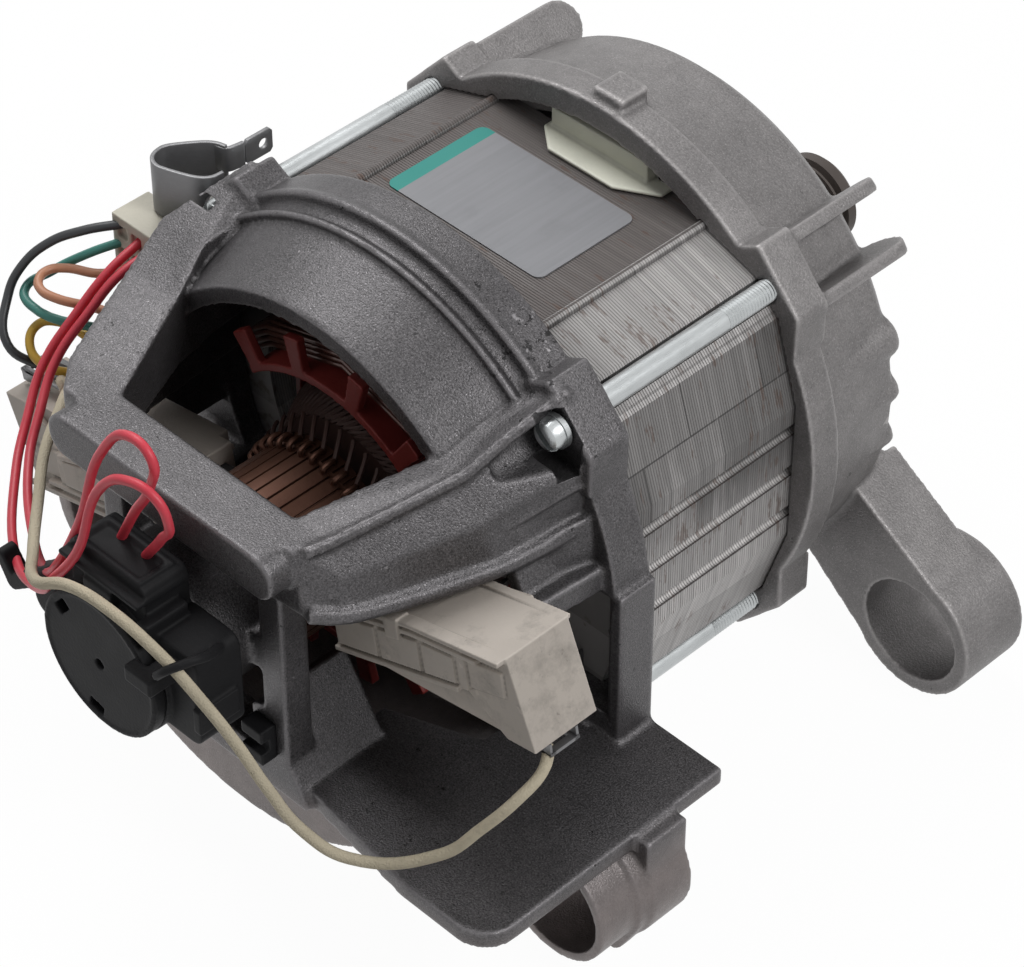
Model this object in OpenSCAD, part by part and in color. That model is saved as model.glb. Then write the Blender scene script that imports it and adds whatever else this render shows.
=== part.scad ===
// Brushed universal motor of a front-loading washing machine.
// Millimetres, +Z up. The shaft lies along Y and the origin is on the shaft axis in the middle of the
// drive pulley, so the motor body lies on the -Y side and the speed sensor is its far -Y end.

/* [Drive pulley and shaft] */
// Outer diameter of the ribbed drive pulley
pulley_d = 21; // [18:0.5:26]
// Width of the drive pulley along the shaft
pulley_w = 18; // [15:0.5:22]
// Number of belt ribs
rib_count = 5; // [3:1:5]
// Pitch of the belt ribs
rib_pitch = 2.34; // [2:0.02:2.6]
// Depth of the grooves between the ribs
rib_depth = 1.8; // [1:0.1:2.2]
// Gap between the pulley and the face of the bearing hub
pulley_gap = 5; // [3:0.5:9]
// Shaft diameter in the drive-end bearing
shaft_d = 12; // [11:0.5:13]
// Shaft diameter in the sensor-end bearing
tail_d = 8; // [7:0.5:9]
// Length of shaft past the pulley
shaft_nose = 2; // [1:0.5:6]

/* [Lamination stack] */
// Width of the lamination
stack_w = 112; // [110:0.5:113]
// Height of the lamination between its flats
stack_h = 96; // [94:0.5:97]
// Length of the lamination stack
stack_len = 55; // [45:1:70]
// Half width of the flats on top and underneath
flat_half = 29.3; // [26:0.1:32]
// Bore of the stack
stack_bore = 62; // [60:0.5:63]
// How deep each shield laps over the stack
seat_depth = 4; // [2:0.5:6]
// Clearance between stack and shield
seat_gap = 0.25; // [0.1:0.05:0.4]
// Sideways distance of the tie bolts from the shaft axis
bolt_x = 47; // [46:0.5:48]
// Height of the tie bolts above and below the shaft axis
bolt_z = 41.7; // [41:0.1:42.5]
// Diameter of the tie bolts
bolt_d = 5; // [4:0.5:6]

/* [Drive-end shield] */
// Radius of the shield's rim
rim_r = 62.2; // [61:0.2:64]
// Length of the drum from its rim to its end wall
drum_len = 32; // [30:1:40]
// Radius of the drum at its end wall
drum_r = 57.7; // [56:0.2:59]
// Wall of the drum
drum_wall = 4; // [3:0.5:5]
// How far the bearing hub stands out of the end wall
hub_out = 18; // [16:1:24]
// Radius of the bearing hub
hub_r = 20; // [19:0.5:23]
// Outer radius of the drive-end bearing
front_race_r = 16; // [15:0.5:17]
// Width of the drive-end bearing
front_race_w = 10; // [8:0.5:12]

/* [Sensor-end shield] */
// Length of the shield from its rim to the front of its frame
rear_len = 71; // [68:1:80]
// Width of the rim
rim_w = 10; // [8:0.5:12]
// Depth of the arched top behind the rim
dome_len = 21; // [16:1:24]
// Radius of the arch at its open edge
dome_r = 52.5; // [50:0.5:55]
// Wall of the arch and skirt
shell_t = 4; // [3:0.5:5]
// Outer radius of the sensor-end bearing
rear_race_r = 11; // [10:0.5:12]
// Width of the sensor-end bearing
rear_race_w = 7; // [6:0.5:9]
// Height of the foot plate's upper face below the shaft axis
plate_z = 32; // [30:0.5:33]
// Thickness of the foot plate
plate_t = 4.2; // [3:0.2:5]

/* [Mounting lugs] */
// Sideways distance of the lugs from the shaft axis
lug_x = 72.5; // [71:0.5:76]
// Height of the lugs below the shaft axis
lug_z = 49.5; // [49:0.5:54]
// Radius of the lug bores
lug_bore_r = 12.2; // [11:0.1:12.5]
// Outer radius of the lugs
lug_r = 15.9; // [15:0.1:17]
// Length of the drive-end lugs
front_lug_len = 18.5; // [16:0.5:24]
// Length of the sensor-end lugs
rear_lug_len = 24; // [20:1:28]

/* [Brush gear] */
// Radius of the commutator
comm_r = 18; // [17:0.5:19]
// Number of commutator bars
comm_bars = 24; // [20:2:28]
// Angle of the brush line above the horizontal
brush_tilt = 10; // [6:1:14]
// Height of a brush
brush_h = 6.3; // [5:0.1:6.6]
// Width of a brush along the shaft
brush_w = 12; // [10:0.5:12.5]
// Length of a brush
brush_len = 30; // [24:1:32]
// Clearance of a brush in its channel
brush_gap = 0.2; // [0.1:0.05:0.3]
// Gap between a brush and the commutator
brush_lift = 0.3; // [0.2:0.05:0.5]
// Travel of a brush in its holder
brush_travel = 9; // [5:0.5:10]

/* [Windings] */
// Loops in the outer layer of each field coil
coil_loops = 10; // [6:1:10]
// Diameter of the field wire with its varnish
wire_d = 1.2; // [0.9:0.1:1.2]
// Step between neighbouring loops
wire_pitch = 1.75; // [1.7:0.05:1.85]
// Radius of the middle of the outer layer
coil_r = 39.6; // [39.4:0.1:40.5]

/* [Leads] */
// Diameter of the cream brush lead
cream_d = 2.4; // [2:0.1:2.6]
// Diameter of the other leads
lead_d = 2; // [1.6:0.1:2.2]

/* [Hidden] */
$fn = 64;
fit = 0.05;
thick_sliver = 0.3;

// Stations along the shaft, worked out from the belt plane at Y = 0
pulley_near = -pulley_w / 2;
hub_face = pulley_near - pulley_gap;
drum_face = hub_face - hub_out;
front_edge = drum_face - drum_len;
stack_front = front_edge + seat_depth;
stack_rear = stack_front - stack_len;
stack_mid = (stack_front + stack_rear) / 2;
rear_edge = stack_rear + seat_depth;
frame_face = rear_edge - rear_len;
function behind(d) = rear_edge - d;

// Lamination outline and the pole geometry inside it
half_w = stack_w / 2;
half_h = stack_h / 2;
corner_top = [bolt_x - 3.5, bolt_z + 1.7];
corner_side = [bolt_x + 3, bolt_z - 5.2];
side_flat = 17;
slot_in = 34;
slot_out = 44.5;
slot_half = 54;
slot_mouth = 26;
weld_r = 1.1;
groove_r = 1.5;
notch_r = bolt_d / 2 + 0.7;

// Shields
rim_wall = 6;
ledge_r = 52;
boss_len = 11;
head_r = 4.2;
head_h = 4;
flank_x = 63.5;
flank_low = plate_z + plate_t;
flank_top = 7;
end_wall = 5;
front_rim_w = 8;
front_block_len = 9;
bolt_hole_r = bolt_d / 2 + 0.1;
bolt_reach = front_block_len - 1;
pocket_r = head_r + 1;
frame_w = 32;
frame_top = 35;
frame_low = plate_z + plate_t;
frame_depth = 13;
frame_bar = 10;
rear_hub_r = 17;
hub_step = 2;
seat_lip = 4;
front_seat_y = hub_face - seat_lip;
rear_seat_y = frame_face + seat_lip;
lug_root = [40, -26];
lug_root_r = 13;
front_lug_y = drum_face - 9;
arm_t = 5;
slab_w = 15;
slab_t = 6;
slab_in = 0.4;
web_in = 0.7;
drum_inside = drum_r - drum_wall;
fin_t = 3;
fin_in = 55;
fin_h = 11.5;
fin_len = 25;
fin_angles = [35, 47.4];
vents = 9;
post_in = 19.5;
post_out = 26;
post_t = 7;
rear_lug_near = 38;
rear_left_lug_near = 30;

// Rotor
air_gap = 0.6;
rotor_r = stack_bore / 2 - air_gap;
core_setback = 2;
core_rear = stack_rear + core_setback;
core_front = stack_front - core_setback;
mid_shaft_r = 8;
tang_y = behind(29);
tang_h = 2.3;
tang_w = 2;
comm_end = behind(rear_len - 18);
comm_slot_w = 0.6;
comm_slot_h = 1.2;
fan_r = 32;
fan_near = core_front + 12;
fan_w = 10;
fan_blades = 11;
tail_r = 3;
tail_end = frame_face - 12.5;
ball_clear = 0.05;
blade_t = 1.6;
bell_r = 28;
front_bore = shaft_d / 2 + fit;
rear_bore = tail_d / 2 + fit;
function race_t(r_out, r_in) = (r_out - r_in) * 0.27;
front_race = race_t(front_race_r, front_bore);
rear_race = race_t(rear_race_r, rear_bore);
rear_seat_top = rear_seat_y + rear_race_w;

// Brush gear, in the plane of each brush line
brush_y = (tang_y + comm_end) / 2 + 1.4;
brush_offset = -3;
holder_w = 16.3;
holder_wall = 1.8;
holder_in = comm_r + 5.5;
holder_out_top = 72.9;
holder_out_low = 77.4;
holder_top = 10.1;
holder_low = -10.3;
channel_h = brush_h + 2 * brush_gap;
channel_w = brush_w + 2 * brush_gap;
brush_face = sqrt(pow(comm_r + brush_lift, 2) - pow(brush_offset, 2));
channel_end = brush_face + brush_len + brush_travel + 7;
spring_r = 2.6;
terminal_x = holder_out_low - 16;
terminal_slot = 1.2;
slot_h = brush_offset - channel_h / 2 - thick_sliver - holder_low;

// Field coils
coil_core_in = 35;
coil_core_out = 37.3;
coil_angle = 40;
coil_core_half = 58;
coil_end = 3;
core_end_t = 12;
end_in = 1.3;
loop_rings = 24;
loop_sides = 6;
former_r = 32.2;
former_t = 1.8;
former_depth = 24;
front_former_depth = drum_face - end_wall - 0.5 - stack_front;
tab_low = -14;
tab_w = 27;
tab_top = thick_sliver + 5.4;

// Speed sensor on the tail of the shaft
sensor_r = 16.6;
sensor_in = 13.4;
sensor_len = 12;
sensor_face = frame_face - hub_step;
cap_t = 2.8;
cap_r = 16.4;
magnet_r = 9;
magnet_len = 8;
magnet_gap = 4;

// Label plate, earth clip and connector
plate_low = [-24.5, 12.1];
plate_size = [43.3, 27.3];
clip_t = 1;
clip_low = bolt_z - 8.2;
clip_top = bolt_z + 4.3;
clip_bends = [
    [5.5, 6.5], [6, 9.5], [8.5, 11.8], [14, 14], [17, 14.6], [19.4, 13.4], [20.4, 11], [20, 8.5], [16.5, 3.5],
    [14, 1.2], [11.5, 0.4]
];
tab_bends = [[14, 1.2], [11.5, 0.4], [10.8, -2], [10.6, -11]];
function beside_bolt(bends) = [for (b = bends) [-bolt_x - b[0], behind(b[1])]];
block_size = [18.4, 10, 13];
block_low = [-bolt_x - 24.7, behind(boss_len) - block_size[1], flank_top + 13];

// Routes of the leads, chosen along what the photographed motor shows
cream_route = [
    [75, -152, -1.6], [78, -157, -2.5], [78, -163, -5], [74, -169, -12], [68, -174, -20],
    [53, -184, -25], [46, -189, -19], [41, -193, -8], [36, -196, 3], [29, -198, 11], [21, -200, 18],
    [8, -202, 23], [-3, -202, 21], [-14, -201.5, 14.5], [-25, -193.5, 10], [-35, -184, 10], [-45, -174, 10.5],
    [-53, -163, 11], [-60, -156.5, 6.5], [-66, -153, 3.6]
];
red_upper_route = [
    [-4, -188, 23], [1, -188, 33], [8, -189, 45], [9, -189, 52], [3, -189, 54], [-4, -190, 47],
    [-10, -193, 26], [-15, -195, 14], [-22, -193, 6], [-32, -188, 3],
    [-52, -173, 3.5], [-58, -165, 7], [-63, -156, 12.5], [-62, -147, 21], [-61, -140, 26.5], [-60, -131, 29]
];
red_lower_route = [
    [3, -188, 23], [10, -189, 33], [15, -191, 41], [13, -192, 47], [7, -193, 48], [0, -194, 43],
    [-6, -197, 24], [-12, -198.5, 14.5], [-21, -196, 4], [-33, -192, 0],
    [-54, -175, 1], [-61, -166, 4.5], [-66, -157, 10.5], [-65, -148, 19.5], [-64, -140, 26], [-64, -131, 29]
];
black_route = [
    [-73, -152, 2.2], [-78.5, -156.5, 8], [-84, -151, 15], [-84, -147, 20], [-81, -142, 25],
    [-75, -137, 29], [-69.5, -131, 30.5]
];
green_route = [
    [-69.5, -131, 26], [-74.5, -136.3, 23], [-80.5, -142.3, 18], [-82, -148, 16], [-78, -150, 15],
    [-60, -142, 13], [-48, -140, 12]
];
orange_route = [
    [-65, -131, 22.5], [-69, -137, 20.5], [-76, -142, 20.5], [-78, -146, 20.5], [-74, -148, 19.5],
    [-66, -143, 17.5], [-48, -137, 16]
];
yellow_route = [
    [-48, -143, 8], [-66, -145, 10.5], [-73, -147, 11], [-76, -150, 10], [-75, -152.5, 7.5],
    [-70.5, -153, 5], [-67, -150, 3.2]
];

// Shared helpers

// A flat shape drawn in X and Z, drawn out from y_hi towards -Y
module prism(y_hi, len) {
    translate([0, y_hi, 0]) rotate([90, 0, 0]) linear_extrude(len) children();
}

// A round rod or hole along Y at a place p in X and Z
module rod(p, y_hi, len, r) {
    translate([p[0], y_hi, p[1]]) rotate([90, 0, 0]) cylinder(h = len, r = r);
}

// A profile drawn in radius and Y, turned about the shaft axis
module turned() {
    rotate([-90, 0, 0]) rotate_extrude() children();
}

// A plain ring about the shaft axis
module ring(y_hi, len, r_out, r_in) {
    prism(y_hi, len) difference() {
        circle(r_out);
        circle(r_in);
    }
}

// Copies at the four tie bolts
module at_bolts() {
    for (sx = [-1, 1], sz = [-1, 1]) translate([sx * bolt_x, 0, sz * bolt_z]) children();
}

// Two round ends joined by their outer tangents
module link(c1, r1, c2, r2) {
    d = c2 - c1;
    a = atan2(d[1], d[0]);
    b = acos((r1 - r2) / norm(d));
    function edge(c, r, s) = c + r * heading(a + s * b);
    translate(c1) circle(r1);
    translate(c2) circle(r2);
    polygon([edge(c1, r1, 1), edge(c2, r2, 1), edge(c2, r2, -1), edge(c1, r1, -1)]);
}

function heading(a) = [cos(a), sin(a)];

// A sector of a ring, about the direction mid
module sector(r_in, r_out, mid, half) {
    reach = 2.2 * r_out;
    intersection() {
        difference() {
            circle(r_out);
            circle(r_in);
        }
        polygon(concat([[0, 0]], [for (k = [-2 : 2]) reach * heading(mid + k * half / 2)]));
    }
}

// A rectangle with round corners, from low to high
module rounded(low, high, r) {
    translate([low[0] + r, low[1]]) square([high[0] - low[0] - 2 * r, high[1] - low[1]]);
    translate([low[0], low[1] + r]) square([high[0] - low[0], high[1] - low[1] - 2 * r]);
    for (x = [low[0] + r, high[0] - r], z = [low[1] + r, high[1] - r]) translate([x, z]) circle(r);
}

// A solid through sections with equal counts of corners, listed from +Y to -Y, anticlockwise as seen from -Y
module loft(sections) {
    n = len(sections[0]);
    last = len(sections) - 1;
    sides = [for (s = [0 : last - 1], i = [0 : n - 1], half = [0, 1])
        let (a = s * n + i, b = s * n + (i + 1) % n)
        half == 0 ? [a, a + n, b + n] : [a, b + n, b]];
    far_cap = [for (i = [1 : n - 2]) [0, i, i + 1]];
    near_cap = [for (i = [1 : n - 2]) [last * n, last * n + i + 1, last * n + i]];
    polyhedron(points = [for (s = sections) each s], faces = concat(far_cap, near_cap, sides));
}

function unit(v) = v / norm(v);
function tangent(p, i) = unit(p[min(i + 1, len(p) - 1)] - p[max(i - 1, 0)]);
function square_to(u, t) = unit(u - (u * t) * t);

// Vectors carried along a path without twist, each square to the path
function carried(p, start) = [
    for (i = 0, u = square_to(start, tangent(p, 0)); i < len(p);
        i = i + 1, u = i < len(p) ? square_to(u, tangent(p, i)) : u) u
];

// A round tube along a path of points
module tube(p, d, sides, start) {
    n = len(p);
    u = carried(p, start);
    points = [for (i = [0 : n - 1], k = [0 : sides - 1])
        let (v = cross(tangent(p, i), u[i]), a = 360 * k / sides)
        p[i] + d / 2 * (cos(a) * u[i] + sin(a) * v)];
    walls = [for (i = [0 : n - 2], k = [0 : sides - 1], half = [0, 1])
        let (a = i * sides + k, b = i * sides + (k + 1) % sides)
        half == 0 ? [a, a + sides, b] : [b, a + sides, b + sides]];
    first_cap = [for (k = [1 : sides - 2]) [0, k, k + 1]];
    last_cap = [for (k = [1 : sides - 2]) [(n - 1) * sides, (n - 1) * sides + k + 1, (n - 1) * sides + k]];
    polyhedron(points = points, faces = concat(first_cap, last_cap, walls));
}

// Sensor-end shield

// Outline of the lamination, grown by a clearance
module stack_outline(grow) {
    quarter = [
        [half_w + grow, side_flat], corner_side + [grow, grow], corner_top + [grow, grow],
        [flat_half + grow, half_h + grow]
    ];
    top = concat(quarter, [for (i = [3 : -1 : 0]) [-quarter[i][0], quarter[i][1]]]);
    polygon(concat(top, [for (p = top) -p]));
}

// Weld beads along the edges of the flats
module weld_beads(r) {
    for (sx = [-1, 1], sz = [-1, 1]) translate([sx * flat_half, sz * half_h]) circle(r);
}

// Outline of the pocket in a shield that takes the end of the stack
module stack_pocket() {
    stack_outline(seat_gap);
    weld_beads(weld_r + seat_gap);
}

// The four corners of a shield, which the tie bolts clamp
module corner_blocks() {
    corner = [
        [bolt_x - 11, bolt_z + 5], [bolt_x - 2.8, bolt_z + 9.6], [bolt_x + 8.6, bolt_z - 3],
        [bolt_x + 8.3, bolt_z - 13], [bolt_x - 2, bolt_z - 10]
    ];
    for (sx = [-1, 1], sz = [-1, 1]) polygon([for (p = corner) [sx * p[0], sz * p[1]]]);
}

module rear_rim() {
    prism(rear_edge, boss_len) difference() {
        corner_blocks();
        circle(rim_r - rim_wall - 1);
    }
    prism(rear_edge, rim_w) difference() {
        union() {
            circle(rim_r);
            for (s = [-1, 1]) translate([s > 0 ? half_w - 2 : -flank_x, -flank_low])
                square([flank_x - half_w + 2, flank_low + flank_top]);
        }
        circle(rim_r - rim_wall);
    }
    ring(behind(seat_depth), rim_w - seat_depth, rim_r - 1, ledge_r);
}

// The arched top, open towards the brush gear, and the closed skirt underneath
module rear_shells() {
    start = behind(rim_w - 2);
    intersection() {
        turned() polygon([
            [rim_r - 1.2, start], [rim_r - 1.2 - shell_t, start],
            [dome_r - shell_t, behind(rim_w + dome_len)], [dome_r, behind(rim_w + dome_len)]
        ]);
        translate([-bolt_x, behind(rim_w + dome_len) - 1, 30]) cube([2 * bolt_x, dome_len + rim_w, 60]);
    }
    skirt_end = behind(rear_len - 15);
    intersection() {
        turned() polygon([
            [rim_r - 1.2, start], [rim_r - 1.2 - shell_t, start],
            [rim_r - 1.7 - shell_t, skirt_end], [rim_r - 1.7, skirt_end]
        ]);
        translate([-42, skirt_end - 1, -90]) cube([84, rear_len, 92 - frame_low]);
    }
    prism(skirt_end + shell_t, shell_t) intersection() {
        circle(rim_r - 3);
        translate([-41, -90]) square([82, 93 - frame_low]);
    }
}

// A beam along the shaft: each station gives its distance behind the rim and its corners in X and Z
module beam(stations) {
    loft([for (s = stations) [for (p = s[1]) [p[0], behind(s[0]), p[1]]]]);
}

module rear_beams() {
    start = seat_depth + 0.2;
    mid = rim_w + dome_len;
    end = rear_len - 6;
    beam([
        [start, [[38, 24], [54, 20], [55, 38], [45, 50.5], [36, 47]]],
        [mid, [[37, 20], [50, 19], [48, 31], [41, 40], [33, 38.5]]],
        [end - 7, [[26, 18], [40, 18], [38, 28], [33, frame_top], [24.7, frame_top]]],
        [end, [[24, 19], [34, 20], [33, 29], [31, frame_top], [24, frame_top]]]
    ]);
    mirror([1, 0, 0]) beam([
        [start, [[38, 24], [52, 24], [46, 51.5], [37, 47]]],
        [rim_w + 13, [[38, 22], [53, 22], [52.5, 43.5], [39.5, 44]]],
        [mid + 4, [[36, 21], [49.5, 21], [49.5, 38.7], [35, 38.5]]],
        [end - 7, [[26, 21], [41, 21], [40.5, frame_top], [24.7, frame_top]]],
        [end, [[24, 21], [34, 21], [34, frame_top], [24, frame_top]]]
    ]);
    mirror([1, 0, 0]) beam([
        [start, [[46, -36.2], [58, -36.2], [58, -22], [46, -22]]],
        [mid, [[42, -36.2], [52, -36.2], [52, -22], [42, -22]]],
        [end, [[24, -36.2], [32, -36.2], [32, -22], [24, -22]]]
    ]);
}

// Thin walls under the beams: the right one ends in a thick bar over the brush window
module side_walls() {
    near = rim_w + dome_len - 4;
    beam([
        [rim_w - 2, [[53, 8], [57, 8], [56, 24], [51, 24]]],
        [near, [[52, 8], [56, 8], [50, 22], [46, 22]]]
    ]);
    beam([
        [rim_w - 2, [[53, 7], [59, 7], [59, 13], [53, 13]]],
        [near, [[52, 7], [57.5, 7], [57.5, 13], [52, 13]]]
    ]);
    mirror([1, 0, 0]) beam([
        [rim_w - 2, [[48, 4], [52, 4], [52, 24], [48, 24]]],
        [35, [[45.5, 4], [49.5, 4], [49.5, 23], [45.5, 23]]],
        [rear_len - 22, [[40, 4], [44, 4], [44, 23], [40, 23]]]
    ]);
}

// The strap at the sensor end, with posts and spokes that carry the bearing hub
module rear_frame() {
    post_y = behind(rear_len - 14);
    prism(behind(rear_len - frame_depth), frame_depth)
        rounded([-frame_w, frame_top - frame_bar], [frame_w, frame_top], 4.5);
    for (s = [0, 1]) mirror([s, 0, 0]) prism(post_y, post_t) translate([post_in, -frame_low])
        square([post_out - post_in, frame_low + frame_top - 3]);
    prism(post_y, post_t) {
        translate([-post_out, -frame_low]) square([2 * post_out, 8]);
        square([2 * post_out - 1, 9], center = true);
        square([9, 2 * frame_top - 10], center = true);
    }
    rod([0, 0], behind(rear_len - frame_depth - 2), frame_depth + hub_step + 2, rear_hub_r);
    prism(behind(rear_len - 30), 23) polygon([
        [16, -frame_low], [31, -frame_low], [29, -plate_z + 0.5], [18.5, -14.5], [16, -16]
    ]);
}

module foot_deck() {
    round_r = 8;
    right = lug_x + 10.5;
    front = rear_len - 5;
    corner = [for (a = [0 : 15 : 90])
        [right - round_r * (1 - cos(a)), behind(front - round_r * (1 - sin(a)))]];
    translate([0, 0, -plate_z - plate_t]) linear_extrude(plate_t) polygon(concat(
        [[44, behind(6)], [flank_x - 1, rear_edge], [right, rear_edge]],
        corner,
        [[60, behind(front)], [30, behind(front - 4)], [23, behind(front - 6)]],
        [[23, behind(36)], [44, behind(28)]]
    ));
}

module rear_lugs() {
    right = [lug_x, -lug_z];
    left = [-lug_x, -lug_z];
    tube_r = lug_bore_r + 2;
    far = rear_lug_near - rear_lug_len;
    floor_z = -lug_z - lug_r;
    web_tip_r = 3;
    rod(right, behind(far), rear_lug_len, tube_r);
    rod(right, behind(far), rear_lug_len / 2 - 1, lug_r);
    prism(behind(far), rear_lug_len / 2 - 1)
        translate([lug_x - lug_r, -lug_z]) square([2 * lug_r - 2, lug_z - plate_z - 1]);
    prism(behind(far + rear_lug_len / 2 - 2), 4)
        link(right, tube_r + 1, [lug_x + 7, floor_z + web_tip_r], web_tip_r);
    rod(left, behind(rear_left_lug_near - rear_lug_len), rear_lug_len, lug_r);
    prism(behind(rear_left_lug_near - rear_lug_len), rear_lug_len - 8)
        link([-half_w - 1, -plate_z + 4], 7, left, lug_r - web_in);
}

module rear_shield() {
    color("#55565a") difference() {
        union() {
            rear_rim();
            rear_shells();
            rear_beams();
            side_walls();
            rear_frame();
            foot_deck();
            rear_lugs();
        }
        prism(rear_edge + 1, seat_depth + 1) stack_pocket();
        at_bolts() rod([0, 0], rear_edge + 1, boss_len + 2, bolt_hole_r);
        for (sz = [-1, 1]) {
            rod([bolt_x, sz * bolt_z], behind(boss_len), 15, pocket_r);
            rod([-bolt_x, sz * bolt_z], behind(boss_len), head_h + 2, pocket_r);
        }
        prism(behind(boss_len), 15) translate([bolt_x, bolt_z - pocket_r]) square([20, 1.8 * pocket_r]);
        prism(behind(boss_len), head_h + 2) translate([-bolt_x - 20, bolt_z - pocket_r])
            square([20, 1.9 * pocket_r]);
        rod([0, 0], behind(rear_len - frame_depth - 3), frame_depth + 3 - seat_lip, rear_race_r + fit);
        rod([0, 0], behind(0), rear_len + 4, tail_d / 2 + 3);
        rod([lug_x, -lug_z], rear_edge, rear_len, lug_bore_r);
        rod([-lug_x, -lug_z], rear_edge, rear_len, lug_bore_r);
    }
}

// Drive-end shield

module front_drum() {
    turned() polygon([
        [rim_r - rim_wall, front_edge], [rim_r, front_edge], [rim_r, front_edge + front_rim_w],
        [rim_r - 2, front_edge + front_rim_w], [drum_r, drum_face - 3], [drum_r - 3, drum_face],
        [hub_r, drum_face], [hub_r, hub_face - 1], [hub_r - 1, hub_face],
        [front_race_r - 6, hub_face], [front_race_r - 6, drum_face - end_wall],
        [drum_inside - 2, drum_face - end_wall], [drum_inside, drum_face - end_wall - 2],
        [rim_r - rim_wall, front_edge + front_rim_w]
    ]);
    ring(front_edge + front_rim_w, front_rim_w - seat_depth, rim_r - 1, ledge_r);
    prism(front_edge + front_block_len, front_block_len) difference() {
        corner_blocks();
        circle(rim_r - rim_wall - 1);
    }
}

// The space inside the drum up to the middle of its wall, which arms and ribs are trimmed to
module drum_core() {
    rim_mid = rim_r - rim_wall / 2 - 1;
    wall_mid = drum_r - drum_wall / 2;
    turned() polygon([
        [0, front_edge], [rim_mid, front_edge], [rim_mid, front_edge + front_rim_w],
        [wall_mid, drum_face - end_wall], [wall_mid - 6, drum_face - 1.5], [wall_mid - 6, drum_face - 0.5],
        [wall_mid, drum_face + 3], [wall_mid, hub_face], [0, hub_face]
    ]);
}

// A lug on its arm: a web, a slab along the upper tangent and the bored tube
module front_lug() {
    tip = [lug_x, -lug_z];
    d = tip - lug_root;
    a = atan2(d[1], d[0]) + acos((lug_root_r - lug_r) / norm(d));
    n = heading(a);
    difference() {
        union() {
            prism(front_lug_y + arm_t, arm_t) link(lug_root, lug_root_r - web_in, tip, lug_r - web_in);
            prism(front_lug_y + slab_w, slab_w) polygon([
                lug_root + lug_root_r * n, tip + (lug_r - slab_in) * n,
                tip + (lug_r - slab_t) * n, lug_root + (lug_root_r - slab_t) * n
            ]);
            rod(tip, front_lug_y + front_lug_len, front_lug_len, lug_r);
        }
        drum_core();
    }
}

// Long fins beside the upper tie bolts, with round ends
module fins() {
    for (side = [0, 1], a = fin_angles) mirror([side, 0, 0]) rotate([0, -a, 0])
        translate([0, 0, -fin_t / 2]) linear_extrude(fin_t) {
            translate([fin_in, front_edge + 6]) square([fin_h, fin_len]);
            translate([fin_in + fin_h / 2, front_edge + 6 + fin_len]) circle(fin_h / 2);
        }
}

// Round ribs down the sides of the drum, each with its angle, radius and depth in the wall
module drum_ribs() {
    ribs = [[17, 5, 3], [4, 3.5, 2.7], [-9, 3.5, 2.7]];
    difference() {
        for (side = [0, 1], b = ribs) mirror([side, 0, 0]) rotate([0, -b[0], 0])
            rod([drum_r - b[2], 0], drum_face - 1, drum_len - front_rim_w, b[1]);
        drum_core();
    }
}

module front_shield() {
    color("#a3a09c") difference() {
        union() {
            front_drum();
            for (side = [0, 1]) mirror([side, 0, 0]) front_lug();
            fins();
            drum_ribs();
            translate([-2.5, front_edge + 1.5, rim_r - 3]) cube([8, 8, 5.5]);
        }
        prism(stack_front, seat_depth + 1) stack_pocket();
        at_bolts() rod([0, 0], front_edge + bolt_reach + 1, bolt_reach + 2, bolt_hole_r);
        translate([tab_low - seat_gap, front_edge - 1, half_h - 11])
            cube([tab_w + 2 * seat_gap, front_rim_w + 2, 11 + tab_top + seat_gap]);
        rod([0, 0], front_seat_y, hub_out + end_wall, front_race_r + fit);
        for (k = [0 : vents - 1]) prism(drum_face + 1, end_wall + 2)
            sector(hub_r + 6, drum_inside - 8, 360 * k / vents + 10, 12);
        for (side = [-1, 1]) rod([side * lug_x, -lug_z], hub_face, drum_len + hub_out, lug_bore_r);
    }
}

// Stator

module stator_core() {
    color("#8d8a86") prism(stack_front, stack_len) difference() {
        union() {
            stack_outline(0);
            weld_beads(weld_r);
        }
        circle(stack_bore / 2);
        for (mid = [0, 180]) {
            sector(slot_in, slot_out, mid, slot_half);
            sector(0, slot_in + 1, mid, slot_mouth);
        }
        for (sx = [-1, 1], sz = [-1, 1]) translate([sx * bolt_x, sz * bolt_z]) circle(notch_r);
        for (sx = [-1, 1], z = [-11, 0, 11]) translate([sx * half_w, z]) circle(groove_r);
    }
}

// The plain inner turns of a field coil, round the pole at direction up
module field_core(up) {
    color("#5a3322") {
        for (s = [-1, 1]) prism(stack_front + coil_end, stack_len + 2 * coil_end)
            sector(coil_core_in, coil_core_out, up + s * (coil_core_half + coil_angle) / 2,
                (coil_core_half - coil_angle) / 2);
        for (y = [stack_front + coil_end + core_end_t, stack_rear - coil_end + 1])
            prism(y, core_end_t + 1)
                sector(coil_core_in + 0.3, coil_core_out - end_in, up, coil_core_half - 0.5);
    }
}
module field_core_upper() field_core(90);
module field_core_lower() field_core(-90);

// One place on the winding: turn t counts loops, which grow outwards at a steady rate
function softened(x) = sign(x) * pow(abs(x), 0.25);
function coil_point(t, up) =
    let (
        grow = wire_pitch * t,
        across = (coil_r * coil_angle * PI / 180 + grow) * softened(cos(360 * t)),
        along = (stack_len / 2 + coil_end + grow) * softened(sin(360 * t)),
        a = up + across / coil_r * 180 / PI
    )
    [coil_r * cos(a), stack_mid + along, coil_r * sin(a)];
function coil_path(up) = [for (i = [0 : coil_loops * loop_rings]) coil_point(i / loop_rings, up)];

// Least gap of the winding to itself, from each ring to the stretches half a loop or more away
function to_stretch(p, a, b) =
    let (d = b - a, s = max(0, min(1, (p - a) * d / (d * d))))
    norm(p - a - s * d);
function self_gap(p, d) = min([
    for (i = [0 : len(p) - 1], j = [i + loop_rings / 2 : 1 : len(p) - 2]) to_stretch(p[i], p[j], p[j + 1])
]) - d;

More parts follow.
